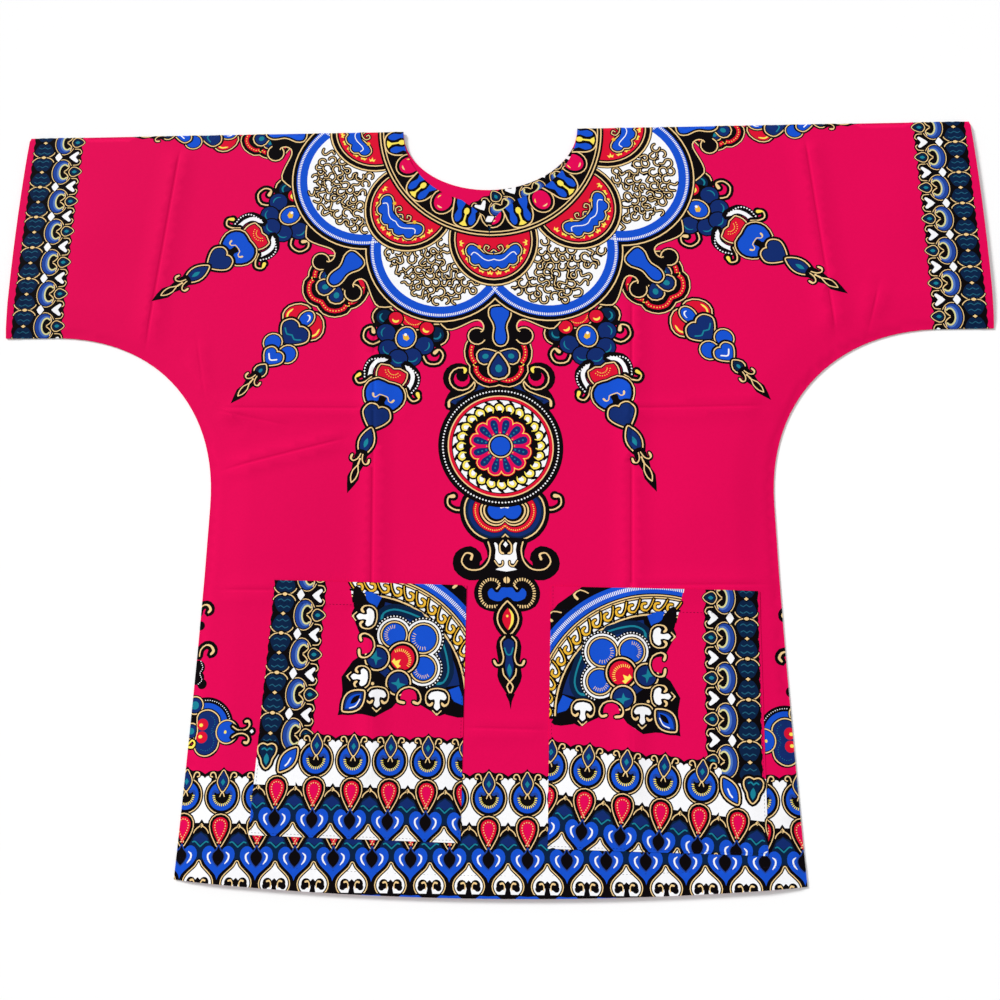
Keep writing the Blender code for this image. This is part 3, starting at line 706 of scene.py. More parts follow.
def belowMedallion(pen):   # from the medallion's centre down
    for side in bothSides(pen):
        hook(side, [(34, -54), (41, -65), (49, -67), (57, -62), (57, -54), (51.5, -52.5)], "cream")
    outer = curve([(0, -50), (30, -50), (39.5, -60), (39.5, -76), (31, -90), (17, -97.5), (6, -97),
        (0, -92)], False, 3)
    inner = curve([(0, -61), (9, -60), (16, -63.5), (16.8, -69.5), (13, -75), (8, -76.6), (3.2, -75.4),
        (0, -72.5)], False, 3)
    pen.fill(grown(mirrored(outer), 5.0), "black")
    pen.fill(grown(mirrored(outer), 0.8), "cream")
    for share, ink in ((0.03, "black"), (0.07, "deep"), (0.16, "navy"), (0.33, "black"), (0.36, "red"),
            (0.60, "black"), (0.67, "cream"), (0.74, "black"), (0.81, "cream"), (0.88, "black"),
            (1.0, "blue")):
        pen.fill(mirrored(outer + (inner - outer) * share), ink)
    beads = across((outer + (inner - outer) * 0.46)[6:][::-1])
    dots(pen, beads, 0.65, "yellow", 46, False, 5)
    pen.fill(twin([(0, -63.0), (4.8, -62.6), (3.8, -65.6), (0, -64.6)]), "white")
    low = pen.at(0, -97)
    for side in bothSides(low):
        side.fill([(0, 2), (24, 0), (19, -12), (18, -24), (26, -34), (8, -42), (0, -42)], "black")
        side.stroke(curve([(13, -22), (22, -32), (36, -35), (46, -28), (45, -18), (36, -14), (30, -19)],
            False, 3), 13.5, "black")
        side.fill(ring(10, 36, -24, 16), "black")
        side.stroke(curve([(17.5, -3), (15.5, -12), (18, -23), (26, -30.5), (38, -30.5), (44.5, -23),
            (40.5, -14.5), (34, -15.5), (35, -20.5)], False, 3), [1.4] * 20 + [1.7, 2.0, 2.3, 2.5, 2.6],
            "cream")
        side.fill(sweep([(0, -16), (4, -15), (8.5, -4.8), (11.5, -4), (10, -11), (11, -20), (7.5, -25),
            (5, -24.5), (7, -29), (10.5, -31), (0, -33)]).tolist(), "white")
        side.stroke(sweep([(2.5, -1.5), (5.8, -6), (5.4, -13), (2.6, -14.6)]), 3.6, "black")
        side.stroke(sweep([(2.5, -1.5), (5.8, -6), (5.4, -13), (2.6, -14.6)]),
            [1.2, 1.2, 1.3, 1.5, 1.9, 2.2, 1.8], "cream")
        side.stroke(sweep([(11.5, -22), (7.5, -27.5), (3.6, -26), (3.4, -22.6)]), 3.4, "black")
        side.stroke(sweep([(11.5, -22), (7.5, -27.5), (3.6, -26), (3.4, -22.6)]), 1.2, "cream")
    low.fill([(0, -2.5), (2.4, -5.5), (0, -8.5), (-2.4, -5.5)], "white")
    eyes = low.at(0, -54)
    frameLine = mirrored(curve([(0, 4), (6, 10), (14, 14.5), (24, 10.5), (28.5, 0), (24.5, -10.5),
        (13, -14.5), (5, -11.5), (0, -9)], False, 3))
    eyes.fill(grown(frameLine, 4.4), "black")
    outer = sweep([(7.5, -13), (20, -13.5), (26.5, -5), (26, 6), (19, 12.8), (11, 12.6), (7.2, 8),
        (9.5, 4.6)])
    for side in bothSides(eyes):
        for x, y in resampled(outer, 26):
            away = math.atan2(y, x - 15)
            along = np.array([math.cos(away), math.sin(away)])
            aside = np.array([-along[1], along[0]]) * 0.62
            spot = np.array([x, y])
            side.fill([spot - along * 1.5 - aside, spot + along * 1.5 - aside,
                spot + along * 1.5 + aside, spot - along * 1.5 + aside], "cream")
    eyes.fill(twin([(0, 5), (5.5, 5), (8.5, 0.5), (12, 0.8), (15, 4.6), (19.0, 1), (17.5, -5.5),
        (10, -8.5), (4, -7.2), (0, -5.2)]), "blue")
    for r, ink in ((4.2, "black"), (3.3, "cream")):
        eyes.fill(ring(r, 0, 12.6, 12), ink)
    eyes.fill([(-0.5, 9), (0.5, 9), (0.5, 16), (-0.5, 16)], "black")
    bud = eyes.at(0, -9)
    lined(bud, leaf(33, 19.5, 9), "black", 3.6, 1.4, 0)
    bud.fill(leaf(22, 11, 7) + [0, -6], "red")
    bud.stroke(sweep([(1.5, -7), (4.6, -13), (3.8, -21), (0.6, -27)]),
        [0.6, 1.8, 2.4, 2.8, 2.4, 1.6, 0.6], "yellow")
    bud.fill(ring(1.3, -0.5, -14, 6), "yellow")
    last = eyes.at(0, -43)
    last.fill(twin([(0, 3), (9, 0), (12.5, -10), (10.5, -24), (12, -38), (8, -48), (0, -60)]), "black")
    for side in bothSides(last):
        limb = sweep([(3.5, 0), (7.6, -5), (6.8, -13), (5.4, -20), (7.4, -26.5), (12.4, -27.5),
            (14.6, -23.5)])
        side.stroke(limb, 6.2, "black")
    last.fill(twin([(0, -2), (5.0, -5), (4.8, -12), (2.8, -20), (4.2, -28), (2.6, -36), (0, -41)]),
        "navy")
    last.stroke(sweep([(-4, -11), (-2, -17), (2, -17), (4, -11)]), 1.4, "teal")
    last.fill(leaf(13, 4.6, 5) + [0, -26], "teal")
    for side in bothSides(last):
        side.stroke(limb, [1.3] * 10 + [1.8, 2.4, 2.2], "cream")
        side.stroke(sweep([(6.6, -31), (5.6, -37), (0.5, -43), (-3.0, -48), (0, -55)]), 1.3, "cream")
    last.fill(mirrored([(0, -54), (4.6, -55), (1.4, -62), (0, -70)]), "black")


def drawPanel(pen):   # one panel in mm below the shoulder line
    sideFlower(pen.at(-292, -652.7))
    sideFlower(pen.at(298, -658.2, flip=True))
    hemBorder(pen.at(-0.3, -688), -9, 9)
    for side in (pen.at(-509, 0), pen.at(505, 0, flip=True)):
        sideBorder(side, -250, 6, start=-45.0)
    middle = pen.at(-3.5, 0)
    middle.m = middle.m @ np.array([[1, -0.033], [0, 1]])   # the print runs a little off square
    for side in bothSides(middle):
        pendantA(side.at(96.0, -248.0, turn=20.0))
        pendantA(side.at(223.0, -103.0, turn=56.0))
        pendantB(side.at(171.5, -187.0, turn=39.5))
        pendantB(side.at(250.0, 0.0, turn=90.0, size=0.92))
    aboveMedallion(middle.at(1.5, -270))
    drawYoke(middle)
    belowMedallion(middle.at(3.0, -368))
    medallion(middle.at(1.0, -368))


# What only the pockets show: a fan in the upper inner corner and the border round two sides
def mushroom(pen):   # a white tulip under a curling arch
    pen.fill(twin([(0, 14.5), (11, 12.5), (16.5, 3), (14, -7), (7.5, -11), (4.5, -15), (0, -19)]),
        "black")
    for side in bothSides(pen):
        side.stroke(sweep([(0, 12.6), (8.5, 11), (13.4, 4.5), (12.6, -4.0), (8.2, -6.8), (5.6, -4.2)]),
            [1.3] * 6 + [1.6, 2.2, 2.8, 3.0, 2.4], "cream")
        side.stroke([(5.0, -12.5), (0, -17.4), (0, -15.6)], 1.2, "cream")
    pen.fill(twin([(0, 9.4), (7.2, 7.8), (10.6, 2.6), (8.0, -0.6), (3.6, 0.4), (2.6, -4), (3.6, -9),
        (0, -12.4)]), "white")


def fan(pen):   # a quarter round its leaf: the pen's y runs along its middle
    edge = [(0, -3), (8, 8), (15.6, 16), (25.5, 23), (30, 41), (29, 49), (36, 54), (45, 63), (54, 66),
        (66.5, 70), (72, 84), (80, 92), (120, 128)]
    pen.fill(mirrored(edge + [(90, 160), (0, 172)]), "black")
    place = pen.at(4, 25)

    def band(r, ink):
        inner = arc(94.0 if r > 96 else 30.0, 146 if r > 96 else 126, 43 if r > 96 else 56, steps=12)
        outer = arc(r, 43 if r > 96 else 56, 146 if r > 96 else 126, steps=34)
        place.fill(np.vstack([outer, inner]), ink)

    rings = ((134, "blue"), (121.6, "black"), (120.4, "cream"), (119.2, "black"), (118, "cream"),
        (116.8, "black"), (115.6, "white"), (102.6, "black"), (101.2, "cream"), (99.6, "black"),
        (95.5, "navy"))
    for r, ink in rings:
        band(r, ink)
    for turn in np.arange(43, 146, 0.85):   # dashes on the blue band
        a, b = math.radians(turn), math.radians(turn + 0.42)
        dash = np.array([(math.cos(a), math.sin(a)), (math.cos(b), math.sin(b))])
        place.fill(np.vstack([dash * 125.5, dash[::-1] * 129.5]), "white")
    for turn in np.arange(46, 144, 6.9):   # gold scrolls on the white band
        unit = onRing(place, turn, 109).at(turn=180)
        path = sweep([(-7.5, 6.5), (-4.5, 0.5), (0.5, -4.5), (5.4, -2.6), (4.6, 2.2), (1.0, 2.8)])
        unit.stroke(path, 4.4, "black")
        unit.stroke(path, [1.0] * 4 + [1.5, 2.0, 2.3, 2.3, 2.2, 2.0, 1.8], "gold")
        unit.stroke(sweep([(-2, -7.5), (-3, -3.5), (-7, -2)]), 2.2, "black")
    for turn in (44, 58, 72, 86, 100, 114, 128):   # scrolls beyond the blue band
        unit = onRing(place, turn, 141).at(turn=180)
        tracery(unit, sweep([(-10, -3), (-5, 4), (3, 3.5), (2.4, -2)]), [1.2] * 4 + [2.0, 2.6, 2.6], 0.8)
    for side in bothSides(pen):
        side.fill(loop([(20, 40), (36, 62), (70, 76), (84, 88), (80, 93), (58, 90), (38, 92), (14, 60)]),
            "black")
        limb = curve([(18, 118), (30, 112), (41, 104), (45, 94), (40, 88), (34, 91)], False, 3)
        side.stroke(limb, 11, "deep")
        side.stroke(limb, [1.8] * 10 + [2.4, 2.8, 3.0, 3.0, 2.8, 2.6], "teal")
        side.fill([(53, 91), (58, 103), (68, 99), (74, 94), (66, 90)], "blue")
        side.fill([(41, 75), (43.6, 71), (53, 78), (50, 81)], "red")
    lobes = ((-22, 88, 11.0), (22, 88, 11.0), (0, 107, 12.6))
    for reach, ink in ((8.8, "black"), (5.6, "white"), (3.6, "black"), (2.3, "cream"), (1.1, "black"),
            (0, "blue")):
        for x, y, r in lobes:
            pen.fill(ring(r + reach, x, y, 24), ink)
    for x, y, r in lobes:
        for dotX, dotY in ring(r + 7.2, x, y, 36):
            if dotY > 78 and all(math.hypot(dotX - a, dotY - b) > c + 7.0 for a, b, c in lobes):
                pen.fill(ring(0.8, dotX, dotY, 6), "white")
        first = 200 if x == 0 else 180 + 2 * x
        rays(pen.at(x, y), arc(r - 3.0, first, first + 130, steps=9), 1.6, 1.6, 0.6, "cream")
    for r, ink in ((17.4, "black"), (15.6, "cream"), (14.2, "black"), (11.8, "red")):
        pen.fill(ring(r, 0.5, 79.5, 26), ink)
    rays(pen.at(0.5, 76), arc(10.0, 15, 165, steps=13), 1.4, 1.4, 0.7, "yellow")
    pen.fill([(-4, 69.5), (-4.5, 73.5), (-1.8, 72.6), (0.5, 77.5), (2.6, 72.6), (5.4, 73.5), (5, 69.5)],
        "yellow")
    for side in bothSides(pen):
        for r, ink in ((14.0, "black"), (12.6, "cream"), (11.2, "black"), (9.6, "navy")):
            side.fill(ring(r, 16, 61, 20), ink)
        side.fill([(11, 55.5), (14, 60), (12.5, 64.5), (17, 62), (22, 65.5), (20.5, 60), (22.5, 55.5),
            (17, 58)], "teal")
        side.fill(np.vstack([arc(7.8, 45, 225, 33, 59.8, 8), [(37, 44), (48, 56)]]), "pink")
        scroll = sweep([(34, 52.8), (29, 49.5), (24.5, 52), (22.6, 58), (25.8, 66.3), (34.2, 70.5),
            (42.4, 67.5), (43.8, 62.5), (39.8, 60.2)])
        tracery(side, scroll, [2.6, 2.6, 2.2, 1.6] + [1.3] * 9 + [1.6, 2.2, 2.6, 2.6], 1.6)
        mushroom(side.at(12.8, 37.0, turn=46.5, size=0.80))
        mushroom(side.at(53.4, 79.0, turn=46.5, size=0.84))
    tip = pen.at(0, 5, turn=180)
    lined(tip, leaf(24.5, 15, 9), "navy", 2.2, 1.4, 1.4)
    tip.fill(leaf(21, 10.5, 8) - [0, 1.5], "blue")
    tip.fill(leaf(13, 5.4, 6) - [0, 8], "black")
    tip.stroke(curve([(-2.5, -5), (-5.0, -11), (-3, -18)], False, 3), 1.1, "white")
    pen.fill(ring(1.6, 0, 42, 7), "cream")


pockets = {   # mouth's middle, sizes and turn; and where its print lies: x, y in mm and turn
    "pocketLeft": {
        "node": "pocket_left", "x": -0.1185, "depth": 0.509, "mouth": 0.194, "base": 0.201,
        "height": 0.242, "turn": -1.6, "flip": False,
        "chain": (-205.3, -520.3, -3.0), "fan": (-145.3, -635.7, -48.0), "hem": (-166.2, -653.4, -1.1),
        "fanSize": 1.0, "repeats": 4,
    },
    "pocketRight": {
        "node": "pocket_right", "x": 0.1645, "depth": 0.515, "mouth": 0.205, "base": 0.204,
        "height": 0.245, "turn": -1.3, "flip": True,
        "chain": (250.6, -544.4, 1.8), "fan": (180.2, -653.6, -42.5), "hem": (202.9, -675.3, 6.8),
        "fanSize": 0.975, "repeats": 4,
    },
}


def drawPocket(pen, spec):
    def place(name, wide=1.0, tall=1.0):
        x, y, turn = spec[name]
        return pen.at(x, y, flip=spec["flip"]).at(turn=turn).shaped(wide, tall)

    fan(place("fan", spec["fanSize"], spec["fanSize"]))
    low = place("hem", 0.983)
    low.fill([(-18.25, -6), (-18.25, -56), (-80, -56), (-80, -20), (-60, -12)], "white")
    low.fill([(-18.25, -5), (-26, 2), (-34, -4), (-34, -24), (-26, -24), (-18.25, -16)], "black")
    chain = place("chain", 0.94)
    last = -38.5 * spec["repeats"]
    sideBorder(chain, last + 20, 60, start=19.25, step=38.5)
    for i in range(5):
        hemTop(low.at(i * 36.5, 0))
    for i in range(-2, 5):
        hemLow(low.at(i * 36.5, 0))
    for i in range(-2, 6):
        hemSpade(low.at((i - 0.5) * 36.5, 0))
    corner = low.at(-27.5, -26.5, turn=-36)
    lined(corner, leaf(25, 11, 8) + [0, 12.5], "blue", 2.0, 1.3, 1.3)
    corner.stroke([(1.2, 2.5), (2.0, -2.5), (1.4, -6)], 1.4, "white")
    end = low.at(-49.0, -17.0)   # the chain's pointed end
    bell = twin([(0, 1.5), (4.5, 3.2), (7.6, 0.8), (6.8, -4), (4, -8.5), (2.8, -13), (0, -16.5)])
    lined(end, bell, "deep", 2.2, 1.3, 1.3)
    end.stroke(sweep([(-5, -0.6), (-2.5, 0.6), (0, -1.4), (2.5, 0.6), (5, -0.6)]), 1.4, "teal")
    end.fill(leaf(11, 5.2, 6) + [0, -4], "teal")


def sideFlower(pen):   # cut through by the side seam: x points in from it
    pen.fill(arc(27.5, -5, 185, 15, 4, 20), "black")
    for x, y, r in ((17, -12.5, 13.5), (17, 8, 14), (37, -1.2, 13), (-1, 4, 12), (8, 44, 5), (3, 50, 7),
            (3, 60, 7), (2, 101, 4.5)):
        pen.fill(ring(r, x, y, 20), "black")
    pen.fill([(36, 12), (45, 4.5), (52, 2), (52, -4), (45, -6), (36, -14)], "black")
    dots(pen, arc(24.6, 12, 172, 15, 4, 20), 0.55, "white", 30)
    dots(pen, curve([(4, 44), (7.5, 48), (5, 54), (7.5, 60), (5, 66)]), 0.55, "white", 13)
    pen.stroke(arc(22.6, 112, 158, 15, 4, 5), 3.0, "white")
    pen.fill(np.vstack([arc(22, 8, 104, 15, 4, 10), arc(13, 104, 8, 15, 4, 8)]), "blue")
    for x, y, r in ((0.5, 23.5, 9.4), (-1.5, -1, 8.5)):
        lined(pen, ring(r - 2.4, x + 2, y, 18), "navy", 1.0, 1.1, 0.9)
        pen.fill(ring(r - 5.4, x + 2, y, 12), "teal")
    lobes = curve([(7, 12), (11.5, 17), (19, 17.4), (26, 12.5), (27.4, 5), (24, -1), (27.5, -8),
        (26, -17), (18, -22.5), (10, -21), (6, -14), (8.5, -1)], True, 3)
    lined(pen, lobes, "navy", 1.2, 1.1, 0.9)
    dots(pen, grown(lobes, -3.4)[8:-7], 0.4, "teal", 22)
    for up in (1, -1):   # a red pansy on its side
        pen.fill(ring(5.6, 11.8, up * 6.0 - 0.6, 16), "red")
        pen.fill(ring(1.7, 8.6, up * 5.4 - 0.6, 8) * [1.2, 1], "yellow")
    petal = np.array([(50.5, -1.2), *curve([(46, 1.4), (41.5, 6.8), (35.5, 8.4), (29.5, 5.2),
        (27.2, -1.2), (29.5, -7.6), (35.5, -10.8), (41.5, -9.2), (46, -3.8)], False, 3)])
    pen.shape(petal, "blue", (2.4, "black"), (1.9, "cream"), (0.8, "black"))
    pen.fill([(51, 1.2), (43.5, 3.2), (49, -1.2), (43.5, -5.6), (51, -3.6)], "black")
    pen.fill(ring(1.4, 35, -1.2, 7) * [1, 1.2], "yellow")
    for up in (1, -1):
        place = pen.at(0, -1.2).shaped(1, up)
        tracery(place, sweep([(42, 5.2), (46.5, 2.2), (52, 1.4), (56.8, 3.4), (58.6, 7.0), (57.0, 10.2),
            (54.4, 9.8)]), [1.2] * 8 + [1.6, 2.0, 2.4, 2.6, 2.4], 2.4)
    pen.fill(ring(4.4, 61, -0.6, 10), "black")
    pen.fill(ring(2.0, 61, -0.6, 4), "white")
    tracery(pen, sweep([(-2, -14), (2, -9.5), (5, -12), (3, -16), (-1, -16)]), [1.6] * 5 + [2.2] * 4,
        1.4, "yellow")
    for y, wide in ((78.5, 1.0), (119, 0.85)):   # hooks that reach in past the seam
        hook = sweep([(3, 71 - 78.5), (4, -1), (9, 3.4), (14.5, 2.6), (17.5, -2.2), (15, -5.4)])
        tracery(pen.at(-3.5 * (wide < 1), y), hook * wide, [1.2] * 5 + [1.6, 2.0, 2.4, 2.6, 2.6, 2.2],
            3.4)


def drawFacing(pen):   # an offcut of the side border behind the neck
    sideBorder(pen.at(22.0, -115.4, turn=-60, flip=True), -60, 130, start=0.0, step=38.5)
    pen.shape([-0.6, -125] + drop(13, 6.0, 6) * [1, 1], "white", (1.0, "black"))


# The cut of the shirt, with depths measured down from the shoulder line
cut = {
    "span": 1.056, "length": 0.802, "cuffDepth": 0.243, "cuffBow": 0.0025,
    "underarmStart": 0.475, "chestDepth": 0.430, "chestWidth": 0.575, "fullness": 2.15,
    "hemWidth": 0.591, "hemBow": 0.013, "hemTurn": 0.020, "cuffTurn": 0.018,
}
neck = {
    "x": -0.0015, "width": 0.195, "front": 0.092, "back": 0.075,
    "slitWidth": 0.050, "slitDepth": 0.047, "slitTaper": 2.9, "steps": 40,
}
weft = {   # how fine the cloth's mesh is
    "grid": 0.0065, "gridClear": 0.4, "markClear": 0.0007, "marks": (-1, -0.5, 0, 0.5, 1),
    "shakes": (0.0002, 0.0003, 0.0004, 0.0005, 0.0006), "shakeTurn": 2100.0, "uncovered": 1e-7,
    "innerGrid": 0.0125, "innerClear": 0.005, "innerMarkClear": 0.0012,
    "innerMarks": (-7, -3, -1, 0, 1, 3, 7),
    "slackReach": 0.012,
}
form = {   # how the layers lie on each other
    "cloth": 0.0005, "frontMid": 0.0034, "frontLow": 0.0021, "facingMid": 0.0020,
    "loft": 0.0004, "seamReach": 0.045, "seamPinch": 0.012, "foldReach": 0.035,
    "turnRise": 0.00030, "edgeRoll": 0.00035, "edgeReach": 0.0035,
    # a pressed crease's sharp line, as a share of its height
    "groove": 0.64, "grooveReach": 0.0027, "creaseFade": 0.022,
}
creases = (   # x and depth of both ends, height, reach
    (-0.124, 0.190, -0.112, 0.705, 0.0024, 0.024), (0.151, 0.200, 0.136, 0.725, 0.0024, 0.024),
    (-0.350, 0.012, -0.370, 0.264, 0.0023, 0.026), (0.345, 0.014, 0.362, 0.250, 0.0023, 0.026),
    (-0.285, 0.324, -0.098, 0.326, 0.0016, 0.022), (0.136, 0.328, 0.284, 0.326, 0.0016, 0.022),
    (-0.282, 0.515, -0.205, 0.516, 0.0014, 0.022), (0.143, 0.511, 0.290, 0.510, 0.0014, 0.022),
    (-0.026, 0.648, 0.060, 0.650, 0.0014, 0.020), (-0.335, 0.268, -0.262, 0.345, 0.0013, 0.022),
    (0.411, 0.190, 0.393, 0.256, 0.0018, 0.020), (-0.288, 0.394, -0.148, 0.358, 0.0021, 0.018),
    (-0.296, 0.325, -0.206, 0.345, 0.0012, 0.016), (-0.315, 0.243, -0.299, 0.322, 0.0012, 0.016),
)
waves = (   # x, depth, reach across, reach down, height
    (-0.205, 0.430, 0.095, 0.120, 0.0018), (0.215, 0.430, 0.090, 0.120, 0.0020),
    (0.010, 0.520, 0.105, 0.150, 0.0016), (-0.450, 0.120, 0.075, 0.085, 0.0016),
    (0.445, 0.115, 0.075, 0.085, 0.0016), (-0.180, 0.730, 0.110, 0.060, 0.0014),
    (0.120, 0.740, 0.120, 0.055, 0.0014),
)
shoulderY = cut["length"] / 2
backMid = form["cloth"] / 2
foldRadius = (form["frontMid"] - backMid) / 2
foldY = shoulderY - foldRadius - form["cloth"] / 2
foldTurn = foldRadius * math.pi / 2   # cloth between the shoulder line and the flat front


def ease(share):
    share = np.clip(share, 0.0, 1.0)
    return share * share * (3.0 - 2.0 * share)


def lineDistance(x, y, a, b):
    along = np.subtract(b, a)
    share = np.clip(((x - a[0]) * along[0] + (y - a[1]) * along[1]) / (along @ along), 0.0, 1.0)
    return np.hypot(x - a[0] - share * along[0], y - a[1] - share * along[1])


def pathDistance(x, y, path):
    return np.min([lineDistance(x, y, a, b) for a, b in zip(path[:-1], path[1:])], axis=0)


def sideLine():   # the right side seam, from the hem up and round to the cuff, as x and depth
    low = cut["length"] - cut["hemBow"]
    points = []
    for step in range(6):
        share = step / 5
        bulge = math.sin(share * math.pi / 2)
        width = cut["hemWidth"] + (cut["chestWidth"] - cut["hemWidth"]) * bulge
        points.append((width / 2, low + (cut["chestDepth"] - low) * share))
    across = cut["underarmStart"] - cut["chestWidth"] / 2
    up = cut["chestDepth"] - cut["cuffDepth"]
    power = 2 / cut["fullness"]
    for step in range(1, 29):
        angle = math.pi / 2 * step / 28
        x = cut["underarmStart"] - across * max(math.cos(angle), 0.0) ** power
        points.append((x, cut["chestDepth"] - up * math.sin(angle) ** power))
    return points + [(cut["span"] / 2 - cut["cuffBow"], cut["cuffDepth"])]


def frontOutline():   # a panel from its left shoulder down, along the hem and up to its right one
    right = sideLine()
    for step in range(1, 11):
        share = step / 10
        bow = cut["cuffBow"] * (1 - (2 * share - 1) ** 2)
        right.append((cut["span"] / 2 - cut["cuffBow"] + bow, cut["cuffDepth"] * (1 - share)))
    hem = []
    for step in range(1, 40):
        share = step / 20 - 1
        hem.append((share * cut["hemWidth"] / 2, cut["length"] - cut["hemBow"] * share**2))
    left = [(-x, depth) for x, depth in reversed(right)]
    return np.array([(x, -depth) for x, depth in left + hem + right])


def neckCurve(halfWidth, depth, count):
    angle = np.linspace(0, math.pi, count + 1)
    return np.c_[neck["x"] - halfWidth * np.cos(angle), -depth * np.sin(angle)]


def frontNeck():   # from the left shoulder down, round the slit and up to the right one
    curved = neckCurve(neck["width"] / 2, neck["front"], neck["steps"])
    left = curved[curved[:, 0] < neck["x"] - neck["slitWidth"] / 2]
    right = curved[curved[:, 0] > neck["x"] + neck["slitWidth"] / 2]
    share = np.linspace(0, 1, 15)
    half = neck["slitWidth"] / 2 * (1 - share) ** neck["slitTaper"]
    down = -neck["front"] - neck["slitDepth"] * share
    slit = np.r_[np.c_[neck["x"] - half, down], np.c_[neck["x"] + half, down][-2::-1]]
    return np.vstack([left, slit, right])


def panelOutline(side):   # the front below the shoulder line for -1, the back above it for 1
    hollow = frontNeck() if side < 0 else neckCurve(neck["width"] / 2, neck["back"], neck["steps"])
    panel = np.vstack([frontOutline(), hollow[::-1]]) * [1, -side]
    panel[np.abs(panel[:, 1]) < 1e-9, 1] = 0.0
    return leftTurning(finely(panel))


def frontHeight(x, y, pressed=1.0):   # the middle of the front's cloth above the table; y as on the table
    depth = shoulderY - y
    seam = pathDistance(np.abs(x), depth, sideLine())
    room = ease(seam / form["seamReach"])
    low = form["frontLow"] + (form["frontMid"] - form["frontLow"]) * room
    low = low - (form["frontLow"] - backMid - form["cloth"]) * (1 - ease(seam / form["seamPinch"]))
    relief = form["loft"]
    for x0, d0, x1, d1, height, reach in creases:
        distance = lineDistance(x, depth, (x0, d0), (x1, d1))
        near = np.clip(1 - distance / reach, 0.0, 1.0)
        line = np.clip(1 - distance / form["grooveReach"], 0.0, 1.0)
        ends = np.minimum(np.hypot(x - x0, depth - d0), np.hypot(x - x1, depth - d1))
        fold = near**1.7 - form["groove"] * pressed * line
        relief = relief + height * ease(ends / form["creaseFade"]) * fold
    for x0, d0, reachX, reachY, height in waves:
        relief = relief + height * ease(1 - np.hypot((x - x0) / reachX, (depth - d0) / reachY))
    hemEdge = cut["length"] - cut["hemBow"] * (2 * x / cut["hemWidth"]) ** 2 - depth
    turned = ease((cut["hemTurn"] + 0.0006 - hemEdge) / 0.0012)
    turned = turned + ease((cut["cuffTurn"] + 0.0006 - (cut["span"] / 2 - np.abs(x))) / 0.0012)
    hole = pathDistance(x, -depth, frontNeck())
    rolled = (1 - ease(hole / form["edgeReach"])) * form["edgeRoll"]
    flat = low + relief * room * ease((foldY - y) / form["foldReach"])
    return flat + turned * form["turnRise"] - rolled * ease((foldY - y) / 0.006)


def bodyPoint(x, v):   # the middle of the folded cloth and the way out of it
    far = np.abs(v)
    angle = np.clip(far / foldRadius, 0, math.pi / 2)
    side = np.where(v > 0, -1.0, 1.0)
    middle = (form["frontMid"] + backMid) / 2
    y = foldY + foldRadius * np.cos(angle) - np.maximum(far - foldTurn, 0)
    z = middle + side * foldRadius * np.sin(angle)
    onFront = (v < 0) & (far > foldTurn)
    z = np.where(onFront, frontHeight(x, np.minimum(y, foldY)), z)
    out = np.stack([np.zeros_like(x), np.cos(angle), side * np.sin(angle)], axis=1)
    return np.stack([x, y, z], axis=1), out


def inside(points, outline):   # the points round which a left-turning outline winds
    x, y = points[:, :1], points[:, 1:]
    a, b = outline, np.roll(outline, -1, axis=0)
    rise = b[:, 1] - a[:, 1]
    crosses = (a[:, 1] <= y) != (b[:, 1] <= y)
    at = a[:, 0] + (y - a[:, 1]) * (b[:, 0] - a[:, 0]) / np.where(rise == 0, 1, rise)
    return (np.where(crosses & (x < at), np.sign(rise), 0).sum(axis=1)) > 0.5


def topInks(points, sheet, ground):
    order = np.argsort(points[:, 0])
    across = points[order, 0]
    top = np.full(len(points), inkNames.index(ground))
    for outline, ink in sheet:
        low, high = outline.min(axis=0), outline.max(axis=0)
        first, last = np.searchsorted(across, (low[0], high[0]))
        near = order[first:last]
        near = near[(points[near, 1] > low[1]) & (points[near, 1] < high[1])]
        if len(near):
            top[near[inside(points[near], outline)]] = inkNames.index(ink)
    return top


def triangulated(points, edges):
    verts = [Vector(p) for p in points]
    found = delaunay_2d_cdt(verts, edges, [], 0, 1e-7, False)
    spots = np.array([(v.x, v.y) for v in found[0]])
    faces = [(f[0], f[i], f[i + 1]) for f in found[2] for i in range(1, len(f) - 1)]
    return spots, np.array(faces)


def closedRuns(outlines):   # points and edges of closed outlines
    points, edges, base = [], [], 0
    for outline in outlines:
        count = len(outline)
        points.append(outline)
        here = np.arange(count) + base
        edges.append(np.c_[here, np.roll(here, -1)])
        base += count
    return np.vstack(points), np.vstack(edges)


def onCloth(points, outlines):
    keep = inside(points, outlines[0])
    for hole in outlines[1:]:
        keep &= ~inside(points, hole)
    return keep


def facePairs(faces):   # each edge once, with the faces on both sides, or -1
    ends = np.vstack([faces[:, [0, 1]], faces[:, [1, 2]], faces[:, [2, 0]]])
    owner = np.tile(np.arange(len(faces)), 3)
    key = np.sort(ends, axis=1)
    order = np.lexsort((key[:, 1], key[:, 0]))
    key, owner, ends = key[order], owner[order], ends[order]
    same = np.r_[(key[1:] == key[:-1]).all(axis=1), False]
    first = ~np.r_[False, same[:-1]]
    other = np.where(same, np.roll(owner, -1), -1)
    return ends[first], owner[first], other[first]


def farFrom(points, taken, clear):   # the points with nothing taken in the cells round them
    used = {tuple(c) for c in np.floor(taken / clear).astype(int)}
    free = []
    for cx, cy in np.floor(points / clear).astype(int):
        free.append(not any((cx + i, cy + j) in used for i in (-1, 0, 1) for j in (-1, 0, 1)))
    return points[np.array(free, bool)]


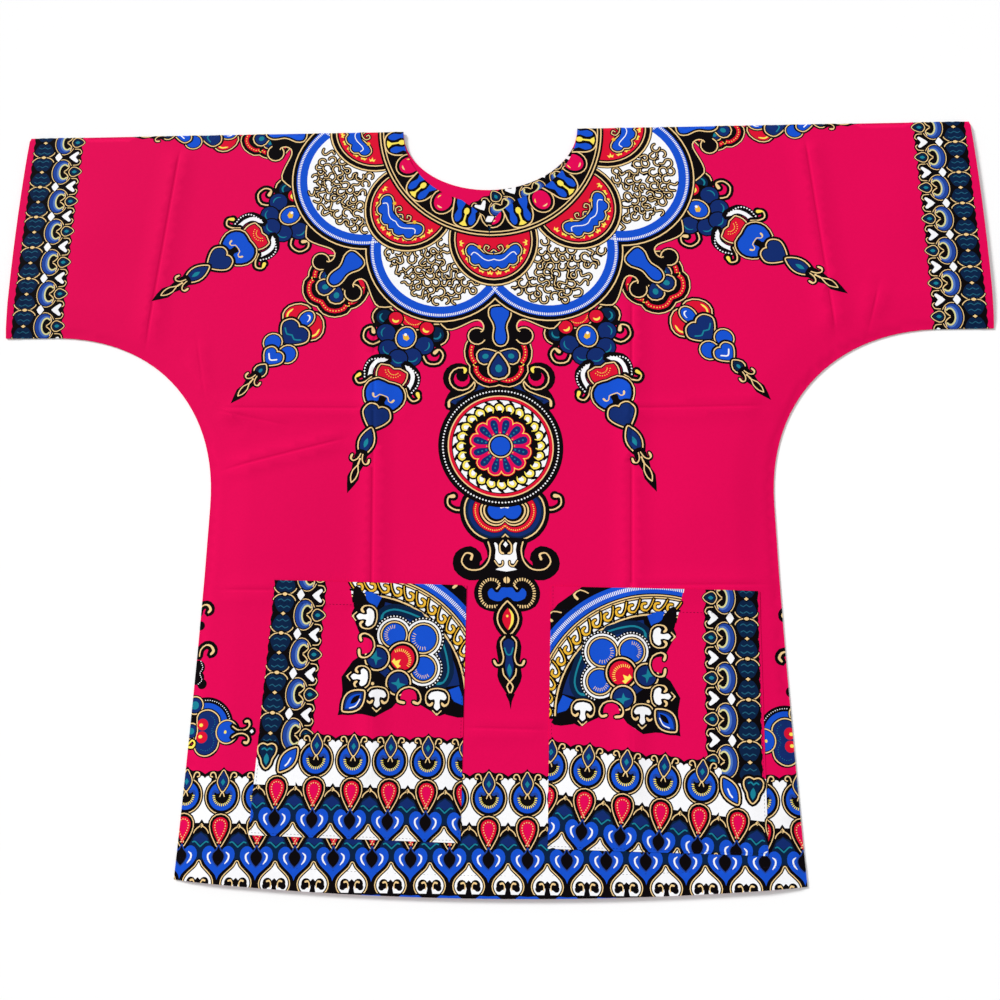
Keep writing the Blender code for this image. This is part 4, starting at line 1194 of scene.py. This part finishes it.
def gridPoints(outlines, step, taken, clear):
    low, high = outlines[0].min(axis=0), outlines[0].max(axis=0)
    xs, ys = np.arange(low[0], high[0], step), np.arange(low[1], high[1], step)
    grid = np.stack(np.meshgrid(xs, ys), axis=-1).astype(float)
    grid[1::2, :, 0] += step / 2
    grid = grid.reshape(-1, 2)
    return farFrom(grid[onCloth(grid, outlines)], taken, clear)


def finely(outline, step=0.006):   # a closed outline with no long sides
    found = []
    for a, b in zip(outline, np.roll(outline, -1, axis=0)):
        count = max(1, round(float(np.hypot(*(b - a))) / step))
        found += [a + (b - a) * k / count for k in range(count)]
    return np.array(found)


def creasePoints(outlines, taken, clear, offsets, step=0.006):   # so the mesh follows pressed lines
    top = shoulderY - foldY - foldTurn
    found = []
    for x0, d0, x1, d1, _, _ in creases:
        a, b = np.array([x0, top - d0]), np.array([x1, top - d1])
        count = max(2, round(float(np.hypot(*(b - a))) / step))
        sideways = np.array([a[1] - b[1], b[0] - a[0]]) / np.hypot(*(b - a))
        for offset in offsets:
            found.append(np.linspace(a, b, count) + sideways * offset * form["grooveReach"])
    found = np.vstack(found)
    return farFrom(found[onCloth(found, outlines)], taken, clear)


def leftTurning(outline):
    outline = np.asarray(outline, float)
    return outline if area(outline) > 0 else outline[::-1]


def printedCloth(name, outlines, sheet, place, ground, fabric, slack=0.0):
    # a printed sheet: the inks' borders become edges, so every colour stays crisp
    thickness = form["cloth"]
    outlines = [leftTurning(o) for o in outlines]
    low, high = outlines[0].min(axis=0), outlines[0].max(axis=0)
    sheet = [(leftTurning(p), ink) for p, ink in sheet
             if (p.max(axis=0) > low).all() and (p.min(axis=0) < high).all()]
    spots, edges = closedRuns(outlines + [p for p, _ in sheet])
    spots, faces = triangulated(spots, edges.tolist())
    centres = spots[faces].mean(axis=1)
    top = topInks(centres, sheet, ground)
    top[~onCloth(centres, outlines)] = -1
    ends, one, other = facePairs(faces)
    differs = (top[one] != np.where(other < 0, -1, top[other]))
    kept = ends[differs]
    used, kept = np.unique(kept, return_inverse=True)
    taken = spots[used]
    marks = creasePoints(outlines, taken, weft["markClear"], weft["marks"])
    grid = gridPoints(outlines, weft["grid"], np.vstack([taken, marks]), weft["grid"] * weft["gridClear"])
    whole = area(outlines[0]) - sum(area(hole) for hole in outlines[1:])
    for shake in weft["shakes"]:   # until the mesh has no pinhole
        loose = grid + shake * np.sin(grid[:, ::-1] * weft["shakeTurn"])
        spots, faces = triangulated(np.vstack([taken, marks, loose]), kept.reshape(-1, 2).tolist())
        centres = spots[faces].mean(axis=1)
        wanted = onCloth(centres, outlines)
        faces, centres = faces[wanted], centres[wanted]
        turned = np.cross(spots[faces[:, 1]] - spots[faces[:, 0]],
            spots[faces[:, 2]] - spots[faces[:, 0]])
        faces[turned < 0] = faces[turned < 0][:, ::-1]
        missing = abs(np.abs(turned).sum() / 2 - whole)
        if missing < weft["uncovered"]:
            break
    print(name, "uncovered area", missing)
    used, faces = np.unique(faces, return_inverse=True)
    spots, faces = spots[used], faces.reshape(-1, 3)
    top = topInks(centres, sheet, ground)

    ends, one, other = facePairs(faces)
    rim = ends[other < 0]   # in the direction of their faces
    edgeSpots, rimIn = np.unique(rim, return_inverse=True)
    rimIn = rimIn.reshape(-1, 2)
    marks = creasePoints(outlines, spots[edgeSpots], weft["innerMarkClear"], weft["innerMarks"])
    grid = gridPoints(outlines, weft["innerGrid"], np.vstack([spots[edgeSpots], marks]),
        weft["innerClear"])
    under, underFaces = triangulated(np.vstack([spots[edgeSpots], marks, grid]), rimIn.tolist())
    centres = under[underFaces].mean(axis=1)
    underFaces = underFaces[onCloth(centres, outlines)]
    turned = np.cross(under[underFaces[:, 1]] - under[underFaces[:, 0]],
        under[underFaces[:, 2]] - under[underFaces[:, 0]]) > 0
    underFaces[turned] = underFaces[turned][:, ::-1]

    def surface(flat, offset):
        middle, out = place(flat[:, 0], flat[:, 1])
        small = 1e-4
        alongX = place(flat[:, 0] + small, flat[:, 1])[0] - place(flat[:, 0] - small, flat[:, 1])[0]
        alongY = place(flat[:, 0], flat[:, 1] + small)[0] - place(flat[:, 0], flat[:, 1] - small)[0]
        normal = np.cross(alongX, alongY)
        normal /= np.maximum(np.linalg.norm(normal, axis=1), 1e-12)[:, None]
        return middle + out * offset, normal

    upper, upperNormal = surface(spots, thickness / 2)
    fromEdge = pathDistance(under[:, 0], under[:, 1], np.vstack([outlines[0], outlines[0][:1]]))
    sunk = -thickness / 2 - slack * ease(fromEdge / weft["slackReach"])
    lower, lowerNormal = surface(under, sunk[:, None])
    base = len(upper)
    a, b = rim[:, 0], rim[:, 1]
    a2, b2 = rimIn[:, 0] + base, rimIn[:, 1] + base
    rimFaces = np.vstack([np.c_[b, a, a2], np.c_[b, a2, b2]])
    points = np.vstack([upper, lower])
    everyFace = np.vstack([faces, underFaces + base, rimFaces])
    across = points[rimFaces]
    rimNormal = np.cross(across[:, 1] - across[:, 0], across[:, 2] - across[:, 0])
    rimNormal /= np.maximum(np.linalg.norm(rimNormal, axis=1), 1e-12)[:, None]
    normals = np.vstack([upperNormal[faces].reshape(-1, 3), -lowerNormal[underFaces].reshape(-1, 3),
                         np.repeat(rimNormal, 3, axis=0)])
    rimInk = top[one[other < 0]]
    colourOf = np.array([[*linear(inks[n]), 1.0] for n in inkNames])
    faceInk = np.r_[top, np.full(len(underFaces), inkNames.index("inside")), rimInk, rimInk]
    colours = np.repeat(colourOf[faceInk], 3, axis=0)

    mesh = bpy.data.meshes.new(name)
    mesh.from_pydata(points.tolist(), [], everyFace.tolist())
    ink = mesh.color_attributes.new("ink", "FLOAT_COLOR", "CORNER")
    ink.data.foreach_set("color", colours.ravel())
    flatSpots = np.vstack([spots, under])
    size = max(high - low)
    chart = (flatSpots - low) / size * 0.96 + 0.01
    chart[base:] = chart[base:] * 0.02 + 0.975   # the plain inside needs little room
    corner = chart[everyFace.ravel()]
    corner[len(faces) * 3 + len(underFaces) * 3:] = np.repeat(chart[rimFaces[:, 0]], 3, axis=0)
    layer = mesh.uv_layers.new(name="OFBake")
    layer.data.foreach_set("uv", corner.ravel())
    mesh.update()
    mesh.normals_split_custom_set(normals.tolist())
    mesh.materials.append(fabric)
    piece = bpy.data.objects.new(name, mesh)
    bpy.context.collection.objects.link(piece)
    print(name, "printed:", len(everyFace), "triangles,", len(faces), "on its face")
    return piece


def linear(colour):
    return [c / 12.92 if c < 0.04045 else ((c + 0.055) / 1.055) ** 2.4 for c in colour]


class Value:   # a value inside a material, with the usual arithmetic
    def __init__(self, tree, socket):
        self.tree, self.socket = tree, socket

    def calc(self, kind, *others):
        node = self.tree.nodes.new("ShaderNodeMath")
        node.operation = kind
        for socket, value in zip(node.inputs, (self, *others)):
            if isinstance(value, Value):
                self.tree.links.new(value.socket, socket)
            else:
                socket.default_value = value
        return Value(self.tree, node.outputs[0])

    def __add__(self, other):
        return self.calc("ADD", other)

    def __sub__(self, other):
        return self.calc("SUBTRACT", other)

    def __mul__(self, other):
        return self.calc("MULTIPLY", other)

    def __truediv__(self, other):
        return self.calc("DIVIDE", other)

    __radd__, __rmul__ = __add__, __mul__

    def __rsub__(self, other):
        return self.calc("MULTIPLY", -1.0).calc("ADD", other)

    def sine(self):
        return self.calc("SINE")



class Fabric:   # a node material
    def __init__(self, name, roughness, sheen=0.0):
        self.material = bpy.data.materials.new(name)
        self.material.use_nodes = True
        self.tree = self.material.node_tree
        self.shader = self.tree.nodes["Principled BSDF"]
        self.shader.inputs["Roughness"].default_value = roughness
        self.shader.inputs["Sheen Weight"].default_value = sheen
        self.shader.inputs["Specular IOR Level"].default_value = 0.04

    def add(self, kind, settings=None, inputs=None, output=0):
        node = self.tree.nodes.new(kind)
        for key, value in (settings or {}).items():
            setattr(node, key, value)
        for key, value in (inputs or {}).items():
            self.wire(value, node.inputs[key])
        return Value(self.tree, node.outputs[output])

    def wire(self, value, socket):
        if isinstance(value, Value):
            self.tree.links.new(value.socket, socket)
        else:
            socket.default_value = value

    def feed(self, **inputs):
        for key, value in inputs.items():
            self.wire(value, self.shader.inputs[key.replace("_", " ")])


clothLook = {"roughness": 0.80, "sheen": 0.0, "weave": 0.00055, "depth": 0.00004, "slub": 0.035}


def printedFabric(name):   # plain weave with its dyes in a colour attribute
    fabric = Fabric(name, clothLook["roughness"], clothLook["sheen"])
    place = fabric.add("ShaderNodeTexCoord", output="Object")
    parts = fabric.add("ShaderNodeSeparateXYZ", inputs={0: place})
    x, y = (Value(fabric.tree, parts.socket.node.outputs[i]) for i in (0, 1))
    turn = 2 * math.pi / clothLook["weave"]
    weave = (x * turn).sine() * (y * turn).sine()
    broad = fabric.add("ShaderNodeTexNoise", inputs={"Vector": place, "Scale": 9.0, "Detail": 3.0})
    fine = fabric.add("ShaderNodeTexNoise", inputs={"Vector": place, "Scale": 420.0, "Detail": 2.0})
    dye = fabric.add("ShaderNodeVertexColor", {"layer_name": "ink"})
    tone = 1.0 + (broad - 0.5) * clothLook["slub"] * 2 + (fine - 0.5) * clothLook["slub"] * 2.4
    colour = fabric.add("ShaderNodeVectorMath", {"operation": "SCALE"}, {0: dye, "Scale": tone})
    height = weave * 0.5 + fine * 0.7
    bump = fabric.add("ShaderNodeBump", inputs={"Strength": 0.35, "Distance": clothLook["depth"],
        "Height": height})
    fabric.feed(Base_Color=colour, Roughness=clothLook["roughness"] + (broad - 0.5) * 0.14, Normal=bump)
    return fabric.material


# The camera looks down at the laid shirt, tipped a little towards the hem
camera = bpy.data.objects.new("camera", bpy.data.cameras.new("camera"))
camera.data.lens, camera.data.sensor_width = 31.14, 36.0
camera.location = (0.0416, -0.2058, 0.8629)
camera.rotation_euler = (math.radians(12.01), math.radians(1.98), math.radians(0.206))
bpy.context.collection.objects.link(camera)
bpy.context.scene.camera = camera

studio = {
    "floor": 0.985, "world": 0.42, "soft": 10.0, "softSize": 2.5, "softHeight": 2.4,
    "key": 3.0, "keyPlace": (-2.0, 1.6, 1.5), "keySpread": 14.0,
}


def lamp(name, kind, power, place, **settings):
    light = bpy.data.lights.new(name, kind)
    light.energy = power
    for key, value in settings.items():
        setattr(light, key, value)
    stand = bpy.data.objects.new(name, light)
    stand.location = place
    stand.rotation_euler = (-Vector(place)).to_track_quat("-Z", "Y").to_euler()
    bpy.context.collection.objects.link(stand)


lamp("overhead", "AREA", studio["soft"], (0.0, 0.0, studio["softHeight"]), size=studio["softSize"])
lamp("key", "SUN", studio["key"], studio["keyPlace"], angle=math.radians(studio["keySpread"]))
world = bpy.context.scene.world or bpy.data.worlds.new("world")
bpy.context.scene.world = world
world.use_nodes = True
world.node_tree.nodes["Background"].inputs[0].default_value = (1.0, 1.0, 1.0, 1.0)
world.node_tree.nodes["Background"].inputs[1].default_value = studio["world"]
bpy.context.scene.view_settings.view_transform = "Standard"

floorMesh = bpy.data.meshes.new("floor")
bm = bmesh.new()
bmesh.ops.create_grid(bm, x_segments=1, y_segments=1, size=25.0)
bmesh.ops.translate(bm, verts=bm.verts[:], vec=(0.0, 0.0, -0.0003))
bm.to_mesh(floorMesh)
bm.free()
floor = bpy.data.objects.new("floor", floorMesh)
bpy.context.collection.objects.link(floor)
floorLook = Fabric("floor", 0.9)
grain = floorLook.add("ShaderNodeTexNoise", inputs={"Scale": 3.0})
shade = studio["floor"] + (grain - 0.5) * 0.01
floorLook.feed(Base_Color=floorLook.add("ShaderNodeCombineColor", inputs={0: shade, 1: shade, 2: shade}))
floorMesh.materials.append(floorLook.material)
print("camera, lights and floor are set")

fabric = printedFabric("waxPrint")
panels = {}
# one cloth, parted at the fold
for name, side, slack in (("shirtFront", -1, 0.0005), ("shirtBack", 1, 0.0)):
    cotton = []
    pen = Pen(cotton, 0.002, 0.0, size=0.001)
    drawPanel(pen if side < 0 else pen.at(turn=180, flip=True))
    panels[side] = printedCloth(name, [panelOutline(side)], cotton, bodyPoint, "pink", fabric,
        slack=slack)
    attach(panels[side], "root")
    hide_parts("body")

thread = {"long": 0.0023, "gap": 0.0011, "wide": 0.00034, "high": 0.00020, "colour": (0.10, 0.08, 0.20)}
threadLook = Fabric("thread", 0.7)
fluff = threadLook.add("ShaderNodeTexNoise", inputs={"Scale": 900.0, "Detail": 1.0})
shades = [(0.75 + fluff * 0.5) * c for c in linear(thread["colour"])]
threadLook.feed(Base_Color=threadLook.add("ShaderNodeCombineColor", inputs=dict(enumerate(shades))))


def stitched(name, runs):   # rows of running stitches; a run is its path, place and cloth
    bm = bmesh.new()
    step = thread["long"] + thread["gap"]
    for path, place in runs:
        path = np.asarray(path, float)
        length = float(np.hypot(*np.diff(path, axis=0).T).sum())
        ends = resampled(path, 2 * max(2, int(length / step)))
        middle, out = place(ends[:, 0], ends[:, 1])
        middle = middle + out * (form["cloth"] / 2 + thread["high"] * 0.25)
        for a, b, up in zip(middle[::2], middle[1::2], out[::2]):
            along = Vector(b - a) * (thread["long"] / step)
            up = Vector(up)
            sideways = along.cross(up).normalized() * thread["wide"] / 2
            axes = [along * 0.98, sideways, up * thread["high"] / 2]
            shape = Matrix([(*row,) for row in zip(*axes, (a + b) / 2)] + [(0, 0, 0, 1)])
            bmesh.ops.create_icosphere(bm, subdivisions=1, radius=1.0, matrix=shape)
    mesh = bpy.data.meshes.new(name)
    bmesh.ops.recalc_face_normals(bm, faces=bm.faces[:])
    bm.to_mesh(mesh)
    bm.free()
    for face in mesh.polygons:
        face.use_smooth = True
    mesh.materials.append(threadLook.material)
    piece = bpy.data.objects.new(name, mesh)
    bpy.context.collection.objects.link(piece)
    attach(piece, "root")
    print(name, len(mesh.polygons), "faces")
    return piece


def hemRow(side):   # the hem's stitching, on the front for -1 and on the back for 1
    x = np.linspace(-1, 1, 41) * (cut["hemWidth"] / 2 - 0.004)
    depth = cut["length"] - cut["hemBow"] * (2 * x / cut["hemWidth"]) ** 2 - cut["hemTurn"]
    return np.c_[x, side * depth]


cuffX, cuffEnd = cut["span"] / 2 - cut["cuffTurn"], cut["cuffDepth"] - 0.004
for name, side in (("frontStitches", -1), ("backStitches", 1)):
    rows = [hemRow(side)]
    for x in (-cuffX, cuffX):
        rows.append(np.linspace((x, side * 0.002), (x, side * cuffEnd), 40))
    hems = stitched(name, [(row, bodyPoint) for row in rows])
    under = [floor] if side > 0 else [panels[1]]
    area(panelOutline(side))

facing = {"spread": 0.030, "drop": 0.092, "belowFold": 0.0008}


def facingOutline():
    inner = neckCurve(neck["width"] / 2, neck["back"], neck["steps"])
    outer = neckCurve(neck["width"] / 2 + facing["spread"], neck["back"] + facing["drop"], neck["steps"])
    ring = np.vstack([inner, outer[::-1]])
    ring[:, 1] = np.minimum(ring[:, 1], -foldTurn - facing["belowFold"])
    return finely(ring)


def facingPlace(x, v):   # flat, between the back and the front
    y = foldY + foldTurn + v
    up = np.stack([np.zeros_like(x), np.zeros_like(x), np.ones_like(x)], axis=1)
    return np.stack([x, y, np.full_like(x, form["facingMid"])], axis=1), up


offcut = []
drawFacing(Pen(offcut, 0.002, 0.0, size=0.001))
collar = printedCloth("neckFacing", [facingOutline()], offcut, facingPlace, "pink", fabric)
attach(collar, "root")
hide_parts("neck_facing")
facingSize = np.ptp(facingOutline(), axis=0)
area(leftTurning(facingOutline()))

pocketForm = {
    "gap": 0.00012, "gape": 0.0010, "gapeReach": 0.050, "mouthTurn": 0.024, "turnRise": 0.00025,
    "loft": 0.00045, "loftReach": 0.018, "edgeSink": 0.00010, "stitchInset": 0.0022,
    "pressed": 0.35,   # how far the pressed lines go through to the pockets
}


def pocketCorners(spec, inset=0.0):
    top, low = spec["mouth"] / 2 - inset, spec["base"] / 2 - inset
    floorY = -spec["height"] + inset
    corners = np.array([(-top, 0.0), (-low, floorY), (low, floorY), (top, 0.0)])
    c, s = math.cos(math.radians(spec["turn"])), math.sin(math.radians(spec["turn"]))
    return corners @ np.array([[c, s], [-s, c]]) + [spec["x"], -spec["depth"]]


def pocketPlace(spec):
    corners = pocketCorners(spec)

    def place(x, v):
        y = foldY + foldTurn + v
        fromMouth = lineDistance(x, v, corners[0], corners[3])
        fromSeam = pathDistance(x, v, corners)
        lift = pocketForm["gape"] * ease(1 - fromMouth / pocketForm["gapeReach"]) * ease(fromSeam / 0.03)
        lift = lift + pocketForm["turnRise"] * ease((pocketForm["mouthTurn"] + 0.0006 - fromMouth) / 0.0012)
        lift = lift + pocketForm["loft"] * ease(fromSeam / pocketForm["loftReach"])
        lift = lift - pocketForm["edgeSink"] * (1 - ease(fromSeam / 0.002))
        z = frontHeight(x, y, pocketForm["pressed"]) + form["cloth"] + pocketForm["gap"] + lift
        up = np.stack([np.zeros_like(x), np.zeros_like(x), np.ones_like(x)], axis=1)
        return np.stack([x, y, z], axis=1), up

    return place


for name, spec in pockets.items():
    design = []
    drawPocket(Pen(design, 0.002, 0.0, size=0.001), spec)
    outline = finely(pocketCorners(spec))
    pocket = printedCloth(name, [outline], design, pocketPlace(spec), "pink", fabric)
    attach(pocket, "root")
    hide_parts(spec["node"])
    inner = pocketCorners(spec, pocketForm["stitchInset"])
    around = np.vstack([np.linspace(a, b, 40) for a, b in zip(inner[:-1], inner[1:])])
    down = (inner[1] - inner[0]) / np.hypot(*(inner[1] - inner[0])) * (pocketForm["mouthTurn"] - 0.0015)
    mouthRow = np.linspace(inner[0] + down, inner[3] + down, 40)
    seams = stitched(name + "Stitches", [(around, pocketPlace(spec)), (mouthRow, pocketPlace(spec))])
    area(leftTurning(outline))
